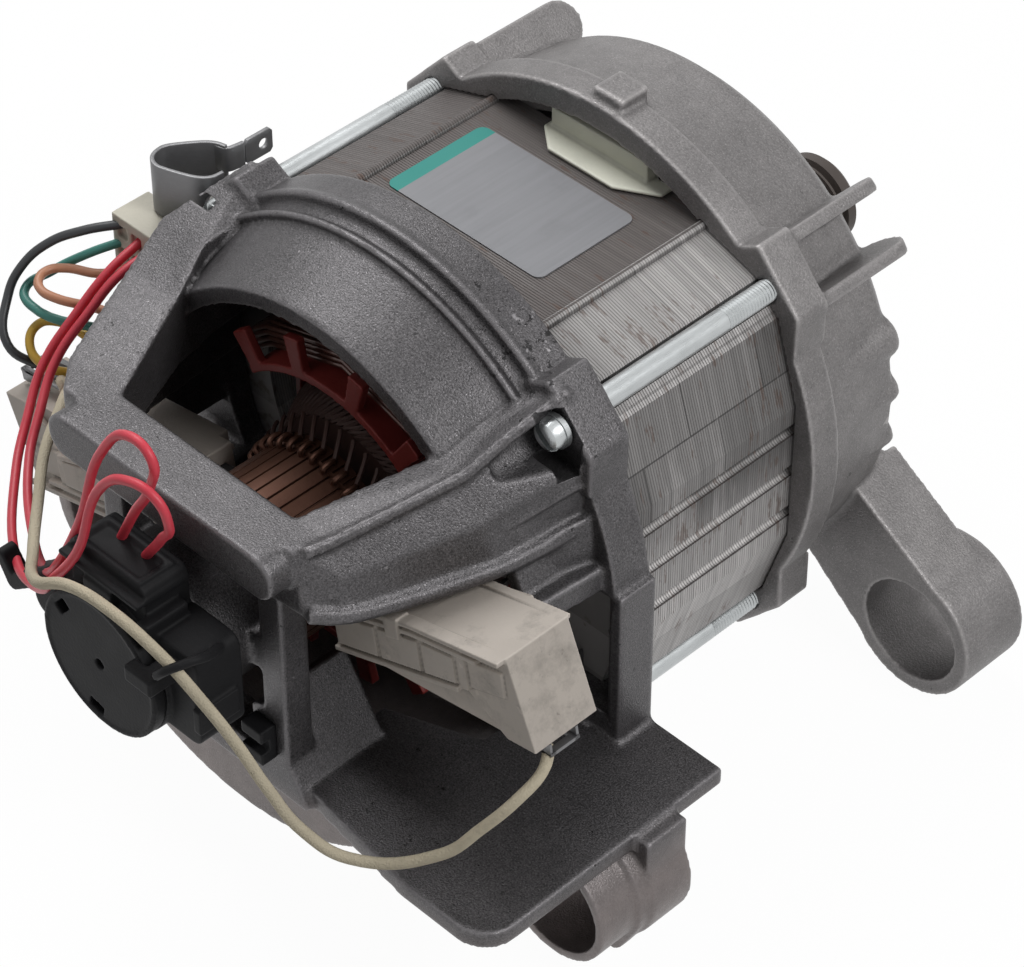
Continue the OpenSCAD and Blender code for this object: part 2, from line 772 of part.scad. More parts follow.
module field_winding(up) {
    color("#7a4526") tube(coil_path(up), wire_d, loop_sides, [0, 0, 1]);
}
module field_winding_upper() {
    echo(least_gap_of_upper_winding = self_gap(coil_path(90), wire_d));
    field_winding(90);
}
module field_winding_lower() field_winding(-90);

// Arched sleeves that carry the end turns, with plates on the poles and prongs that hold the turns back
module coil_former(face, depth, out) {
    plate_t = 1;
    prong = 2;
    low = out > 0 ? face : face - depth;
    for (mid = [90, -90]) {
        prism(low + depth, depth) sector(former_r, former_r + former_t, mid, 41);
        prism(out > 0 ? face + plate_t : face, plate_t) sector(former_r, half_h - 3, mid, 34);
        for (a = [-37, -13, 13, 37]) prism(out > 0 ? face + depth : low + prong, prong)
            sector(former_r + 0.5, 41.5, mid + a, 3);
    }
}
module coil_former_rear() {
    color("#9c3b34") {
        coil_former(stack_rear, former_depth, -1);
        ring(stack_rear, 2, former_r + former_t, former_r);
    }
}

// The drive-end former joins its two sleeves with a ring and has a tab over the stack's upper edge
module coil_former_front() {
    color("#d9d8cc") {
        coil_former(stack_front, front_former_depth, 1);
        ring(stack_front + 2, 2, former_r + former_t, former_r);
        translate([tab_low, stack_front, half_h - 10]) cube([tab_w, 1, 13.4]);
        translate([tab_low, stack_front - 2.5, half_h + thick_sliver]) cube([tab_w, 3.5, 3.1]);
        translate([tab_low, stack_front - 2.5, half_h + thick_sliver])
            cube([tab_w, 1.8, tab_top - thick_sliver]);
    }
}

module tie_bolts() {
    color("#c9ccce") at_bolts() {
        rod([0, 0], front_edge + bolt_reach, front_edge + bolt_reach - behind(boss_len), bolt_d / 2);
        difference() {
            rod([0, 0], behind(boss_len), head_h, head_r);
            translate([-head_r, behind(boss_len + head_h) - 1, -0.6]) cube([2 * head_r, 2, 1.2]);
        }
    }
}

module rating_plate() {
    color("#b9bbc0") translate([0, rear_edge, half_h]) linear_extrude(thick_sliver)
        rounded(plate_low, plate_low + plate_size, 2);
}

// Rotor

module bearing_ring(y_hi, w, r_out, r_in) {
    color("#c4c6c8") ring(y_hi, w, r_out, r_in);
}

// Balls in the middle of a bearing, between its two rings
module bearing_balls(y_mid, r_out, r_in, count) {
    pitch_r = (r_out + r_in) / 2;
    ball_r = (r_out - r_in) / 2 - race_t(r_out, r_in) - ball_clear;
    color("#8f9296") for (k = [0 : count - 1])
        rotate([0, 360 * k / count, 0]) translate([pitch_r, y_mid, 0]) sphere(ball_r);
}

module front_bearing_outer()
    bearing_ring(front_seat_y, front_race_w, front_race_r, front_race_r - front_race);
module front_bearing_inner() bearing_ring(front_seat_y, front_race_w, front_bore + front_race, front_bore);
module front_bearing_balls() bearing_balls(front_seat_y - front_race_w / 2, front_race_r, front_bore, 8);
module rear_bearing_outer() bearing_ring(rear_seat_top, rear_race_w, rear_race_r, rear_race_r - rear_race);
module rear_bearing_inner() bearing_ring(rear_seat_top, rear_race_w, rear_bore + rear_race, rear_bore);
module rear_bearing_balls() bearing_balls(rear_seat_y + rear_race_w / 2, rear_race_r, rear_bore, 7);

module shaft() {
    nose = pulley_w / 2 + shaft_nose;
    front_step = front_seat_y - front_race_w - 1;
    rear_step = rear_seat_top + 1;
    tail_step = frame_face - 1;
    color("#b4b6b8") turned() polygon([
        [0, tail_end], [tail_r, tail_end], [tail_r, tail_step], [tail_d / 2, tail_step],
        [tail_d / 2, rear_step], [mid_shaft_r, rear_step], [mid_shaft_r, front_step],
        [shaft_d / 2, front_step], [shaft_d / 2, nose - 1], [shaft_d / 2 - 1, nose], [0, nose]
    ]);
}

module armature_core() {
    slots = comm_bars / 2;
    color("#77777a") prism(core_front, core_front - core_rear) difference() {
        circle(rotor_r);
        circle(mid_shaft_r + fit);
        for (k = [0 : slots - 1]) rotate(360 * k / slots) translate([rotor_r - 9, -1.5]) square([10, 3]);
    }
}

module armature_winding() {
    bore = mid_shaft_r + fit;
    color("#6b3a1f") {
        turned() polygon([
            [bore, core_rear], [bell_r - 1, core_rear], [bell_r, core_rear - 6], [bell_r - 4, core_rear - 16],
            [comm_r + 1, tang_y + 1.2], [bore, tang_y + 1.2]
        ]);
        turned() polygon([
            [bore, core_front], [bell_r - 2, core_front], [bell_r - 1, core_front + 5],
            [bell_r - 4, core_front + 10],
            [bore, core_front + 10]
        ]);
    }
}

// Copper bars on a moulded hub, with the hook of each bar at its inner end
module commutator() {
    color("#a5643c") difference() {
        union() {
            rod([0, 0], tang_y + 1, tang_y + 1 - comm_end, comm_r);
            for (k = [0 : comm_bars - 1]) rotate([0, 360 * (k + 0.5) / comm_bars, 0])
                translate([comm_r - 1, tang_y - 1.5, -tang_w / 2]) cube([1 + tang_h, 2.5, tang_w]);
        }
        rod([0, 0], tang_y + 2, tang_y + 4 - comm_end, mid_shaft_r + fit);
        for (k = [0 : comm_bars - 1]) rotate([0, 360 * k / comm_bars, 0])
            translate([comm_r - comm_slot_h, comm_end - 1, -comm_slot_w / 2])
                cube([comm_slot_h + 1, tang_y - comm_end, comm_slot_w]);
    }
}

module cooling_fan() {
    color("#3a3b3d") {
        ring(fan_near + 2, 2, fan_r, mid_shaft_r + fit);
        ring(fan_near + fan_w, fan_w, mid_shaft_r + 4, mid_shaft_r + fit);
        for (k = [0 : fan_blades - 1]) rotate([0, 360 * k / fan_blades, 0])
            translate([mid_shaft_r + 3, fan_near + 1, -blade_t / 2])
                cube([fan_r - mid_shaft_r - 3.5, fan_w - 1, blade_t]);
    }
}

module drive_pulley() {
    r = pulley_d / 2;
    start = -rib_count * rib_pitch / 2;
    grooves = [for (k = [0 : rib_count - 1]) each [
        [r, start + rib_pitch * k + 0.3], [r - rib_depth, start + rib_pitch * (k + 0.5)],
        [r, start + rib_pitch * (k + 1) - 0.3]
    ]];
    color("#8a8175") turned() polygon(concat(
        [[shaft_d / 2 + fit, pulley_near], [r - 1, pulley_near], [r, pulley_near + 1]],
        grooves,
        [[r, pulley_w / 2 - 1], [r - 1, pulley_w / 2], [shaft_d / 2 + fit, pulley_w / 2]]
    ));
}

// Speed sensor

module sensor_magnet() {
    color("#4a4a4c") ring(frame_face - magnet_gap, magnet_len, magnet_r, tail_r + fit);
}

// Moulded body with the lead box on top, an ear on the right and two lead hooks
module sensor_housing() {
    color("#232427") {
        ring(sensor_face, sensor_len, sensor_r, sensor_in);
        ring(sensor_face, 2, sensor_r, tail_d / 2 + 3);
        prism(sensor_face, sensor_len - 1) difference() {
            union() {
                rounded([-11, 8], [11, 24], 2);
                rounded([10, -8], [25, 15], 3);
                link([-14, 4], 5, [-20, 0], 4);
            }
            circle(sensor_in + 1);
        }
        prism(sensor_face - 6, 4) difference() {
            union() {
                link([-13, 12], 2.2, [-33, -4], 1.8);
                link([-33, -4], 1.8, [-36, 1], 1.5);
            }
            circle(sensor_r - 1);
        }
        translate([16.5, sensor_face - 19, 8]) cube([4, 10, 4]);
        translate([13, sensor_face - 19, 8]) cube([6, 3, 4]);
    }
}

module sensor_coil() {
    color("#7d4a2a") ring(sensor_face - 2.3, sensor_len - 3, sensor_in - 0.1, 10);
}

// End cap with its centre hole and three snap recesses
module sensor_cap() {
    color("#2b2c2f") prism(sensor_face - sensor_len, cap_t) difference() {
        circle(cap_r);
        circle(1.2);
        for (a = [20, 140, 260]) rotate(a) translate([cap_r - 4.5, -2]) square([2.6, 4]);
    }
}

// Brush gear

// Places a piece drawn along +X on one brush line: turn 0 is the right side and 180 the left
module on_brush_line(turn) {
    rotate([0, turn - brush_tilt, 0]) children();
}

module brush_holder(turn) {
    holder_in_top = brush_offset + channel_h / 2 + holder_wall;
    color("#cfc9ba") on_brush_line(turn) difference() {
        union() {
            prism(brush_y + holder_w / 2, holder_w) polygon([
                [holder_in, holder_low], [holder_out_low, holder_low], [holder_out_top, holder_top],
                [holder_in + 24, holder_in_top + 5], [holder_in, holder_in_top]
            ]);
            prism(brush_y + holder_w / 2 + 2.5, 2.5) polygon([
                [holder_in + 4, holder_low], [holder_out_low - 12, holder_low],
                [holder_out_top - 12, holder_top - 2], [holder_in + 4, holder_in_top]
            ]);
        }
        translate([holder_in - 1, brush_y - channel_w / 2, brush_offset - channel_h / 2])
            cube([channel_end - holder_in + 1, channel_w, channel_h]);
        translate([terminal_x, brush_y - 4, holder_low - 1]) cube([terminal_slot, 8, slot_h + 1]);
    }
}
module brush_holder_right() brush_holder(0);
module brush_holder_left() brush_holder(180);

module brush(turn) {
    color("#38383a") on_brush_line(turn) difference() {
        translate([comm_r / 2, brush_y - brush_w / 2, brush_offset - brush_h / 2])
            cube([brush_face + brush_len - comm_r / 2, brush_w, brush_h]);
        rod([0, 0], brush_y + brush_w, 2 * brush_w, comm_r + brush_lift);
    }
}
module brush_right() brush(0);
module brush_left() brush(180);

module brush_spring(turn) {
    start = brush_face + brush_len + thick_sliver;
    color("#b8babd") on_brush_line(turn) translate([start, brush_y, brush_offset]) rotate([0, 90, 0])
        difference() {
            cylinder(h = channel_end - start - thick_sliver, r = spring_r);
            translate([0, 0, -1]) cylinder(h = channel_end, r = spring_r - 0.8);
        }
}
module brush_spring_right() brush_spring(0);
module brush_spring_left() brush_spring(180);

// A spade terminal pressed into the outer end of a holder
module brush_terminal(turn) {
    blade = 0.8;
    width = 7.6;
    stand = 4;
    blade_h = stand + slot_h - thick_sliver;
    color("#b9bcbf") on_brush_line(turn)
        translate([terminal_x + (terminal_slot - blade) / 2, brush_y - width / 2, holder_low - stand]) {
            cube([blade, width, blade_h]);
            cube([15, width, blade]);
        }
}
module brush_terminal_right() brush_terminal(0);
module brush_terminal_left() brush_terminal(180);

// Earth clip, connector and leads

// Outline of a strip of even thickness along a path in the plane
function strip(p, t) =
    let (n = [for (i = [0 : len(p) - 1]) let (d = tangent(p, i)) [-d[1], d[0]] * t / 2])
    concat([for (i = [0 : len(p) - 1]) p[i] + n[i]], [for (i = [len(p) - 1 : -1 : 0]) p[i] - n[i]]);

// Earth terminal: a strip pressed into the casting, folded back on itself and ending in a spade tab
module earth_clip() {
    color("#77797b") difference() {
        union() {
            translate([0, 0, clip_low]) linear_extrude(clip_top - clip_low)
                polygon(strip(beside_bolt(clip_bends), clip_t));
            translate([0, 0, clip_low + 6]) linear_extrude(6) polygon(strip(beside_bolt(tab_bends), clip_t));
        }
        translate([-bolt_x - 13, behind(-8.5), clip_low + 9]) rotate([0, 90, 0]) cylinder(h = 5, r = 1.2);
    }
}

// Socket housing with two rows of cells, held on the flank
module connector_block() {
    cell = 3;
    color("#d8d7c4") difference() {
        translate(block_low) cube(block_size);
        for (k = [0 : 2], row = [0, 1])
            translate(block_low + [1.6 + 4.4 * k, -1, 2 + 5.6 * row]) cube([cell, 2, cell]);
    }
}

// Small clip on the foot of the frame that keeps the brush lead off the casting
module lead_clip() {
    color("#26272a") translate([17, behind(rear_len - 7) - 4, -26]) difference() {
        cube([6, 4, 9]);
        translate([-1, -1, 3]) cube([8, 3, 3]);
    }
}

module lead(route, d, colour) {
    color(colour) tube(route, d, 8, [0.31, 0.17, 0.93]);
}
module cream_lead() lead(cream_route, cream_d, "#d6cba6");
module red_lead_upper() lead(red_upper_route, lead_d, "#c23a3f");
module red_lead_lower() lead(red_lower_route, lead_d, "#c23a3f");
module black_lead() lead(black_route, lead_d, "#2a2a2c");
module green_lead() lead(green_route, lead_d, "#4f9a86");
module orange_lead() lead(orange_route, lead_d, "#c58d6a");
module yellow_lead() lead(yellow_route, lead_d, "#d9b53c");

rear_shield();
front_shield();
stator_core();
field_core_upper();
field_core_lower();
field_winding_upper();
field_winding_lower();
coil_former_rear();
coil_former_front();
tie_bolts();
rating_plate();
front_bearing_outer();
front_bearing_balls();
front_bearing_inner();
rear_bearing_outer();
rear_bearing_balls();
rear_bearing_inner();
shaft();
armature_core();
armature_winding();
commutator();
cooling_fan();
drive_pulley();
sensor_magnet();
sensor_housing();
sensor_coil();
sensor_cap();
brush_holder_right();
brush_holder_left();
brush_right();
brush_left();
brush_spring_right();
brush_spring_left();
brush_terminal_right();
brush_terminal_left();
earth_clip();
connector_block();
lead_clip();
cream_lead();
red_lead_upper();
red_lead_lower();
black_lead();
green_lead();
orange_lead();
yellow_lead();
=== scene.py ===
from math import atan2, copysign, cos, hypot, pi, radians, sin

import bmesh
import bpy
from mathutils import Matrix, Vector


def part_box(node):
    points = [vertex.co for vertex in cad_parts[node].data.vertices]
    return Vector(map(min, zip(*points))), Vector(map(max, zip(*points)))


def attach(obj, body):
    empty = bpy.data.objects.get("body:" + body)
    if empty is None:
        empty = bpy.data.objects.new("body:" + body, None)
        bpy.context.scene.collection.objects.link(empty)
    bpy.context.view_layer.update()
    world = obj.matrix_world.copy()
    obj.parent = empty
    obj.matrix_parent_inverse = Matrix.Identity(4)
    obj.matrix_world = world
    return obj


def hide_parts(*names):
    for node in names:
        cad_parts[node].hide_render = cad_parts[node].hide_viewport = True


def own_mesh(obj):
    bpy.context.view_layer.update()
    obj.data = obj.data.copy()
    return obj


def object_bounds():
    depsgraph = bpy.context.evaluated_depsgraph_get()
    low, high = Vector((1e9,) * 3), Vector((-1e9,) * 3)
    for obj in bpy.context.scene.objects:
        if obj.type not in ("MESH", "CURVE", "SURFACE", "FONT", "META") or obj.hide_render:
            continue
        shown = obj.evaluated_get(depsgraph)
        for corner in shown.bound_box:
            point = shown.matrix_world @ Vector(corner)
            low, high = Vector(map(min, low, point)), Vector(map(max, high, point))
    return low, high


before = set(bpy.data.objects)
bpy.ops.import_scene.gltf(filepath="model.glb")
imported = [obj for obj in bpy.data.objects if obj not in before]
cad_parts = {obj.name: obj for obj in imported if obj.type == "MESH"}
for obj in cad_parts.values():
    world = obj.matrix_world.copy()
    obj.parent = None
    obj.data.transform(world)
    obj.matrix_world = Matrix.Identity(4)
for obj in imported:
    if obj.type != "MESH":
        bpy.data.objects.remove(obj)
CAD_BOX = [list(corner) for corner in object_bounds()]
MM = 0.001

bl_info = {
    "name": "Washing machine motor",
    "version": (1, 0, 0),
    "blender": (4, 5, 0),
    "location": "3D View > Sidebar > Motor",
    "description": "Dresses the solids of a brushed motor with castings, windings, brush gear and leads",
    "category": "Object",
}

# Stations along the shaft, and the axes of the tie bolts
STACK_FRONT = -60 * MM
STACK_REAR = -115 * MM
REAR_EDGE = -111 * MM
BOSS_FACE = -122 * MM
BRUSH = -150.6 * MM
BOLT_X = 47 * MM
BOLT_Z = 41.7 * MM

# Lean of the brush line in degrees, and the part of a bar's pitch at which its hook stands
BRUSH_TILT = 10
HOOK_PLACE = 0.58

# Place, width and power of each lamp
LAMPS = {
    "overhead": ((-0.46, 0.02, 0.78), 0.5, 4.3),
    "side": ((0.72, 0.02, 0.72), 0.38, 4.6),
    "front": ((-0.6, -0.85, 0.8), 0.8, 1.0),
}
LAMP_TARGET = (0, -0.09, 0)

# Rays for which the floor and the sky are plain white
BACKDROP_RAYS = ("Is Camera Ray", "Is Glossy Ray", "Is Transmission Ray")

# Middle of the chipped patch on the dark casting
CHIPS = (0.031, -0.117, 0.053)

# Lead routes in millimetres, close to those of the solids
ROUTES = {
    "cream_lead": [
        (75, -152, -1.6), (78, -157, -2.5), (78, -163, -5), (74, -169, -12), (68, -174, -20),
        (53, -184, -25), (46, -189, -19), (41, -193, -8), (36, -196, 3), (29, -198, 11), (21, -200, 18),
        (8, -202, 23), (-3, -202, 21), (-14, -201.5, 14.5), (-25, -193.5, 10), (-35, -184, 10),
        (-45, -174, 10.5), (-53, -163, 11), (-60, -156.5, 6.5), (-66, -153, 3.6),
    ],
    "red_lead_upper": [
        (-4, -188, 23), (1, -188, 33), (8, -189, 45), (9, -189, 52), (3, -189, 54), (-4, -190, 47),
        (-10, -193, 26), (-15, -195, 14), (-22, -193, 6), (-32, -188, 3), (-52, -173, 3.5), (-58, -165, 7),
        (-63, -156, 12.5), (-62, -147, 21), (-61, -140, 26.5), (-60, -131, 29),
    ],
    "red_lead_lower": [
        (3, -188, 23), (10, -189, 33), (15, -191, 41), (13, -192, 47), (7, -193, 48), (0, -194, 43),
        (-6, -197, 24), (-12, -198.5, 14.5), (-21, -196, 4), (-33, -192, 0), (-54, -175, 1),
        (-61, -166, 4.5), (-66, -157, 10.5), (-65, -148, 19.5), (-64, -140, 26), (-64, -131, 29),
    ],
    "black_lead": [
        (-73, -152, 2.2), (-78.5, -156.5, 8), (-84, -151, 15), (-84, -147, 20), (-81, -142, 25),
        (-75, -137, 29), (-69.5, -131, 30.5),
    ],
    "green_lead": [
        (-69.5, -131, 26), (-74.5, -136.3, 23), (-80.5, -142.3, 18), (-82, -148, 16), (-78, -150, 15),
        (-60, -142, 13), (-48, -140, 12),
    ],
    "orange_lead": [
        (-65, -131, 22.5), (-69.6, -137, 20.8), (-77, -141.6, 20.6), (-78.6, -144.2, 20.6),
        (-77.9, -147.3, 20.4), (-75.3, -148.9, 20), (-72.2, -148.2, 19.4), (-65, -142.8, 17.5),
        (-48, -137, 16),
    ],
    "yellow_lead": [
        (-48, -143, 8), (-66, -145, 10.5), (-73.4, -146.6, 11.2), (-76.8, -149.8, 10.2), (-75.6, -153, 7.4),
        (-70.8, -153.2, 4.8), (-67, -150, 3.2),
    ],
}


def length(name, description, default):
    return bpy.props.FloatProperty(
        name=name, description=description, default=default, precision=5, unit="LENGTH"
    )


def number(name, description, default, low, high):
    return bpy.props.IntProperty(name=name, description=description, default=default, min=low, max=high)


def colour(name, description, default):
    return bpy.props.FloatVectorProperty(
        name=name, description=description, default=default, size=3, min=0, max=1, subtype="COLOR"
    )


class MotorSizes(bpy.types.PropertyGroup):
    """Sizes that shape the dressing of the motor."""

    lead_d: length("Lead", "Diameter of a plain lead", 2 * MM)
    sleeve_d: length("Sleeve", "Diameter of the cream sleeved lead", 2.4 * MM)
    cast_grain: length("Cast edge", "Size of the steps that round the edges of the castings", 0.62 * MM)
    mould_grain: length("Moulded edge", "Size of the steps that round the edges of moulded pieces", 0.36 * MM)
    wire_d: length("Wire", "Diameter of the enamelled wire of the field coils", 1.2 * MM)
    lamination: length("Lamination", "Thickness of one sheet of the stack", 0.65 * MM)
    thread_pitch: length("Thread pitch", "Pitch of the thread on the tie bolts", 0.8 * MM)
    bars: number("Bars", "Bars of the commutator", 36, 12, 48)
    coil_loops: number("Loops", "Loops in a layer of a field coil", 11, 4, 24)


class MotorColours(bpy.types.PropertyGroup):
    """Colours of the motor's finishes."""

    rear_casting: colour("Rear casting", "Dark cast metal of the sensor end", (0.09, 0.086, 0.089))
    front_casting: colour("Front casting", "Pale cast metal of the drive end", (0.205, 0.196, 0.195))
    # Pale dust, also painted fill light, low on the sensor end.
    dust_and_painted_light: colour("Dust", "Pale dust low on the sensor end", (0.25, 0.215, 0.205))
    lamination: colour("Lamination", "Edges of the stacked sheets", (0.3, 0.29, 0.286))
    stain: colour("Stain", "Brown film on the top of the stack", (0.11, 0.096, 0.092))
    rust: colour("Rust", "Rust on the stack", (0.1, 0.05, 0.03))
    zinc: colour("Zinc", "Bright plating of the bolts", (0.47, 0.49, 0.495))
    plate: colour("Plate", "Satin silver of the plate", (0.215, 0.217, 0.23))
    strip: colour("Strip", "Teal strip at the end of the plate", (0.02, 0.225, 0.195))
    wire: colour("Wire", "Varnished copper wire", (0.07, 0.026, 0.018))
    copper: colour("Copper", "Worn copper bars", (0.093, 0.042, 0.027))
    former: colour("Former", "Brick red moulding", (0.19, 0.024, 0.02))
    nylon: colour("Nylon", "Off-white moulding", (0.7, 0.7, 0.6))
    holder: colour("Holder", "Dirty cream moulding of the brush holders", (0.56, 0.505, 0.45))
    connector: colour("Connector", "Greenish cream moulding", (0.6, 0.57, 0.48))
    charcoal: colour("Charcoal", "Moulding of the speed sensor", (0.011, 0.011, 0.012))
    steel: colour("Steel", "Dull plated sheet", (0.19, 0.19, 0.195))
    ground: colour("Ground steel", "Shaft and bearing rings", (0.5, 0.5, 0.5))
    pulley: colour("Pulley", "Worn pulley steel", (0.07, 0.058, 0.052))
    carbon: colour("Carbon", "Pressed carbon brushes", (0.04, 0.04, 0.042))
    cream_lead: colour("Cream lead", "Woven sleeve", (0.62, 0.55, 0.41))
    red_lead: colour("Red leads", "Red insulation", (0.72, 0.055, 0.085))
    black_lead: colour("Black lead", "Black insulation", (0.02, 0.022, 0.025))
    green_lead: colour("Green lead", "Green insulation", (0.045, 0.23, 0.19))
    orange_lead: colour("Orange lead", "Orange insulation", (0.56, 0.26, 0.15))
    yellow_lead: colour("Yellow lead", "Yellow insulation", (0.64, 0.4, 0.05))


def forward(operation):
    """A method that adds a Math node with its own socket first."""
    return lambda value, *others: value.math(operation, value, *others)


def backward(operation):
    """A method that adds a Math node with its own socket last."""
    return lambda value, other: value.math(operation, other, value)


class Value:
    """A socket of a node tree, on which Python's operators add Math nodes."""

    __add__ = forward("ADD")
    __radd__ = backward("ADD")
    __sub__ = forward("SUBTRACT")
    __rsub__ = backward("SUBTRACT")
    __mul__ = forward("MULTIPLY")
    __rmul__ = backward("MULTIPLY")
    __truediv__ = forward("DIVIDE")
    __lt__ = forward("LESS_THAN")
    fract = forward("FRACT")
    size = forward("ABSOLUTE")

    def __init__(self, owner, socket):
        self.owner = owner
        self.socket = socket

    def math(self, operation, *inputs):
        return self.owner.node("Math", dict(enumerate(inputs)), operation=operation)


class NodeTree:
    """The node tree of a material or a world, whose nodes all come from one method."""

    def __init__(self, owner):
        owner.use_nodes = True
        self.tree = owner.node_tree
        self.tree.nodes.clear()

    def node(self, kind, sockets=None, out=0, **settings):
        made = self.tree.nodes.new("ShaderNode" + kind)
        for key, value in settings.items():
            setattr(made, key, value)
        for key, value in (sockets or {}).items():
            self.feed(made.inputs[key], value)
        return Value(self, made.outputs[out]) if made.outputs else None

    def feed(self, socket, value):
        if isinstance(value, Value):
            self.tree.links.new(value.socket, socket)
        elif socket.type == "RGBA" and len(value) == 3:
            socket.default_value = (*value, 1)
        else:
            socket.default_value = value

    def backdrop_seen(self):
        rays = [self.node("LightPath", out=ray) for ray in BACKDROP_RAYS]
        return rays[0] + rays[1] + rays[2]


class Finish(NodeTree):
    """A procedural material that is built from expressions."""

    def __init__(self, name):
        self.material = bpy.data.materials.new(name)
        super().__init__(self.material)
        self.shader = self.node("BsdfPrincipled")
        self.place = self.node("TexCoord", out="Object")

    def axis(self, letter, source=None):
        return self.node("SeparateXYZ", {0: source or self.place}, letter)

    def stretched(self, scale):
        return self.node("Mapping", {"Vector": self.place, "Scale": scale})

    def noise(self, scale, detail=3, rough=0.55, place=None):
        sockets = {"Vector": place or self.place, "Scale": scale, "Detail": detail, "Roughness": rough}
        return self.node("TexNoise", sockets)

    def cells(self, scale):
        return self.node("TexVoronoi", {"Vector": self.place, "Scale": scale}, "Distance")

    def band(self, value, low, high):
        sockets = {"Value": value, "From Min": low, "From Max": high}
        return self.node("MapRange", sockets, clamp=True)

    def mix(self, factor, first, second, blend="MIX"):
        sockets = {0: factor, 6: first, 7: second}
        return self.node("Mix", sockets, 2, data_type="RGBA", blend_type=blend)

    def shade(self, base, factor):
        grey = self.node("CombineColor", {0: factor, 1: factor, 2: factor})
        return self.mix(1.0, base, grey, "MULTIPLY")

    def bump(self, height, strength, depth):
        return self.node("Bump", {"Height": height, "Strength": strength, "Distance": depth})

    # Pointiness band: worn convex edges for a positive radius, painted shade in concave creases for a
    # negative one.
    def wear_and_crevice_shade(self, radius):
        bend = self.node("NewGeometry", out="Pointiness")
        return self.band(bend, 0.5 + radius * 0.2, 0.5 + radius)

    # Painted shade: a mask of the concave creases, where shade would fall.
    def crevice_shade(self, radius):
        return self.wear_and_crevice_shade(-radius)

    def done(self, **sockets):
        for key, value in sockets.items():
            self.feed(self.shader.socket.node.inputs[key.replace("_", " ")], value)
        self.node("OutputMaterial", {"Surface": self.shader})
        return self.material


def tone(colour_value, gain):
    return tuple(min(1.0, channel * gain) for channel in colour_value)


def cast_finish(name, base, grain, metallic, rough, contrast, chips=None, dust_and_painted_light=None):
    """Sand-cast metal with pale grains, painted glints, dark pits, painted shade in its creases and brighter
    edges, and pale dust low down that also paints fill light.
    """
    f = Finish(name)
    sand = f.band(f.noise(grain, 2, 0.6), 0.3, 0.7)
    blotch = f.noise(34, 4, 0.6)
    mottle = f.noise(190, 5, 0.7)
    # Painted glints: bright specks that stand in for light glinting off the grains.
    painted_glint = f.band(f.noise(grain * 1.5, 1, 0.5), 0.62, 0.72)
    pit = f.band(f.noise(grain * 0.16, 3, 0.6), 0.7, 0.74)
    grains = 1 - contrast + 2 * contrast * sand
    ground = f.shade(base, grains * (0.4 + 0.6 * blotch + 0.6 * mottle))
    worn = f.mix(f.wear_and_crevice_shade(0.06) * 0.7, ground, tone(base, 2.2))
    bright = f.mix(painted_glint * contrast * 1.4, worn, tone(base, 2.6))
    pits_and_painted_light = f.mix(pit * 0.6, bright, tone(base, 0.25))
    # Painted shade darkens the creases.
    pits_and_painted_light = f.mix(f.crevice_shade(0.06) * 0.75, pits_and_painted_light, tone(base, 0.3))
    if chips:
        away = f.node("VectorMath", {0: f.place, 1: chips}, "Value", operation="DISTANCE")
        near = 1 - f.band(away, 2 * MM, 16 * MM)
        flaw = f.band(f.noise(420, 4, 0.65) + 0.13 * near, 0.68, 0.71)
        bare = f.band(f.noise(520, 4, 0.65) + 0.1 * near, 0.7, 0.74)
        pits_and_painted_light = f.mix(flaw * 0.85, pits_and_painted_light, tone(base, 0.12))
        pits_and_painted_light = f.mix(bare * 0.7, pits_and_painted_light, tone(base, 3.5))
    # Pale dust low on the casting, which also paints the fill light that the low faces lack.
    if dust_and_painted_light:
        low = f.band(f.axis("Z") * -1, 32 * MM, 44 * MM)
        pits_and_painted_light = f.mix(low * (0.25 + 0.8 * blotch), pits_and_painted_light, f.shade(dust_and_painted_light, 0.6 + 0.8 * mottle))
    return f.done(
        Base_Color=pits_and_painted_light,
        Roughness=rough + 0.14 * sand - 0.15 * painted_glint,
        Metallic=metallic,
        Specular_IOR_Level=0.3,
        Normal=f.bump(sand * 0.6 + blotch * 0.5 - pit * 0.6, 0.4, 0.22 * MM),
    )


def moulded_finish(name, base, darkening, rough=0.5, shine=0.35):
    """Moulded plastic with patches of dirt, painted shade in its seams and creases, and paler edges."""
    f = Finish(name)
    cloud = f.noise(70, 4, 0.6)
    fine = f.noise(1500, 2, 0.5)
    dirt = f.band(f.noise(95, 6, 0.72), 0.5, 0.72)
    speck = f.band(f.noise(900, 2, 0.5), 0.66, 0.7)
    ground = f.shade(base, 0.86 + 0.28 * cloud)
    dirt_and_shade = f.mix(dirt * darkening, ground, tone(base, 0.55))
    dirt_and_shade = f.mix(speck * dirt * darkening, dirt_and_shade, tone(base, 0.3))
    # Painted shade darkens the seams and creases, more on the dirtier mouldings.
    dirt_and_shade = f.mix(f.crevice_shade(0.05) * (0.3 + 0.7 * darkening), dirt_and_shade, tone(base, 0.2))
    worn = f.mix(f.wear_and_crevice_shade(0.06) * 0.4, dirt_and_shade, tone(base, 1.4))
    return f.done(
        Base_Color=worn,
        Roughness=rough + 0.2 * (cloud - 0.5),
        Specular_IOR_Level=shine,
        Normal=f.bump(fine + cloud * 0.4, 0.25, 0.2 * MM),
    )


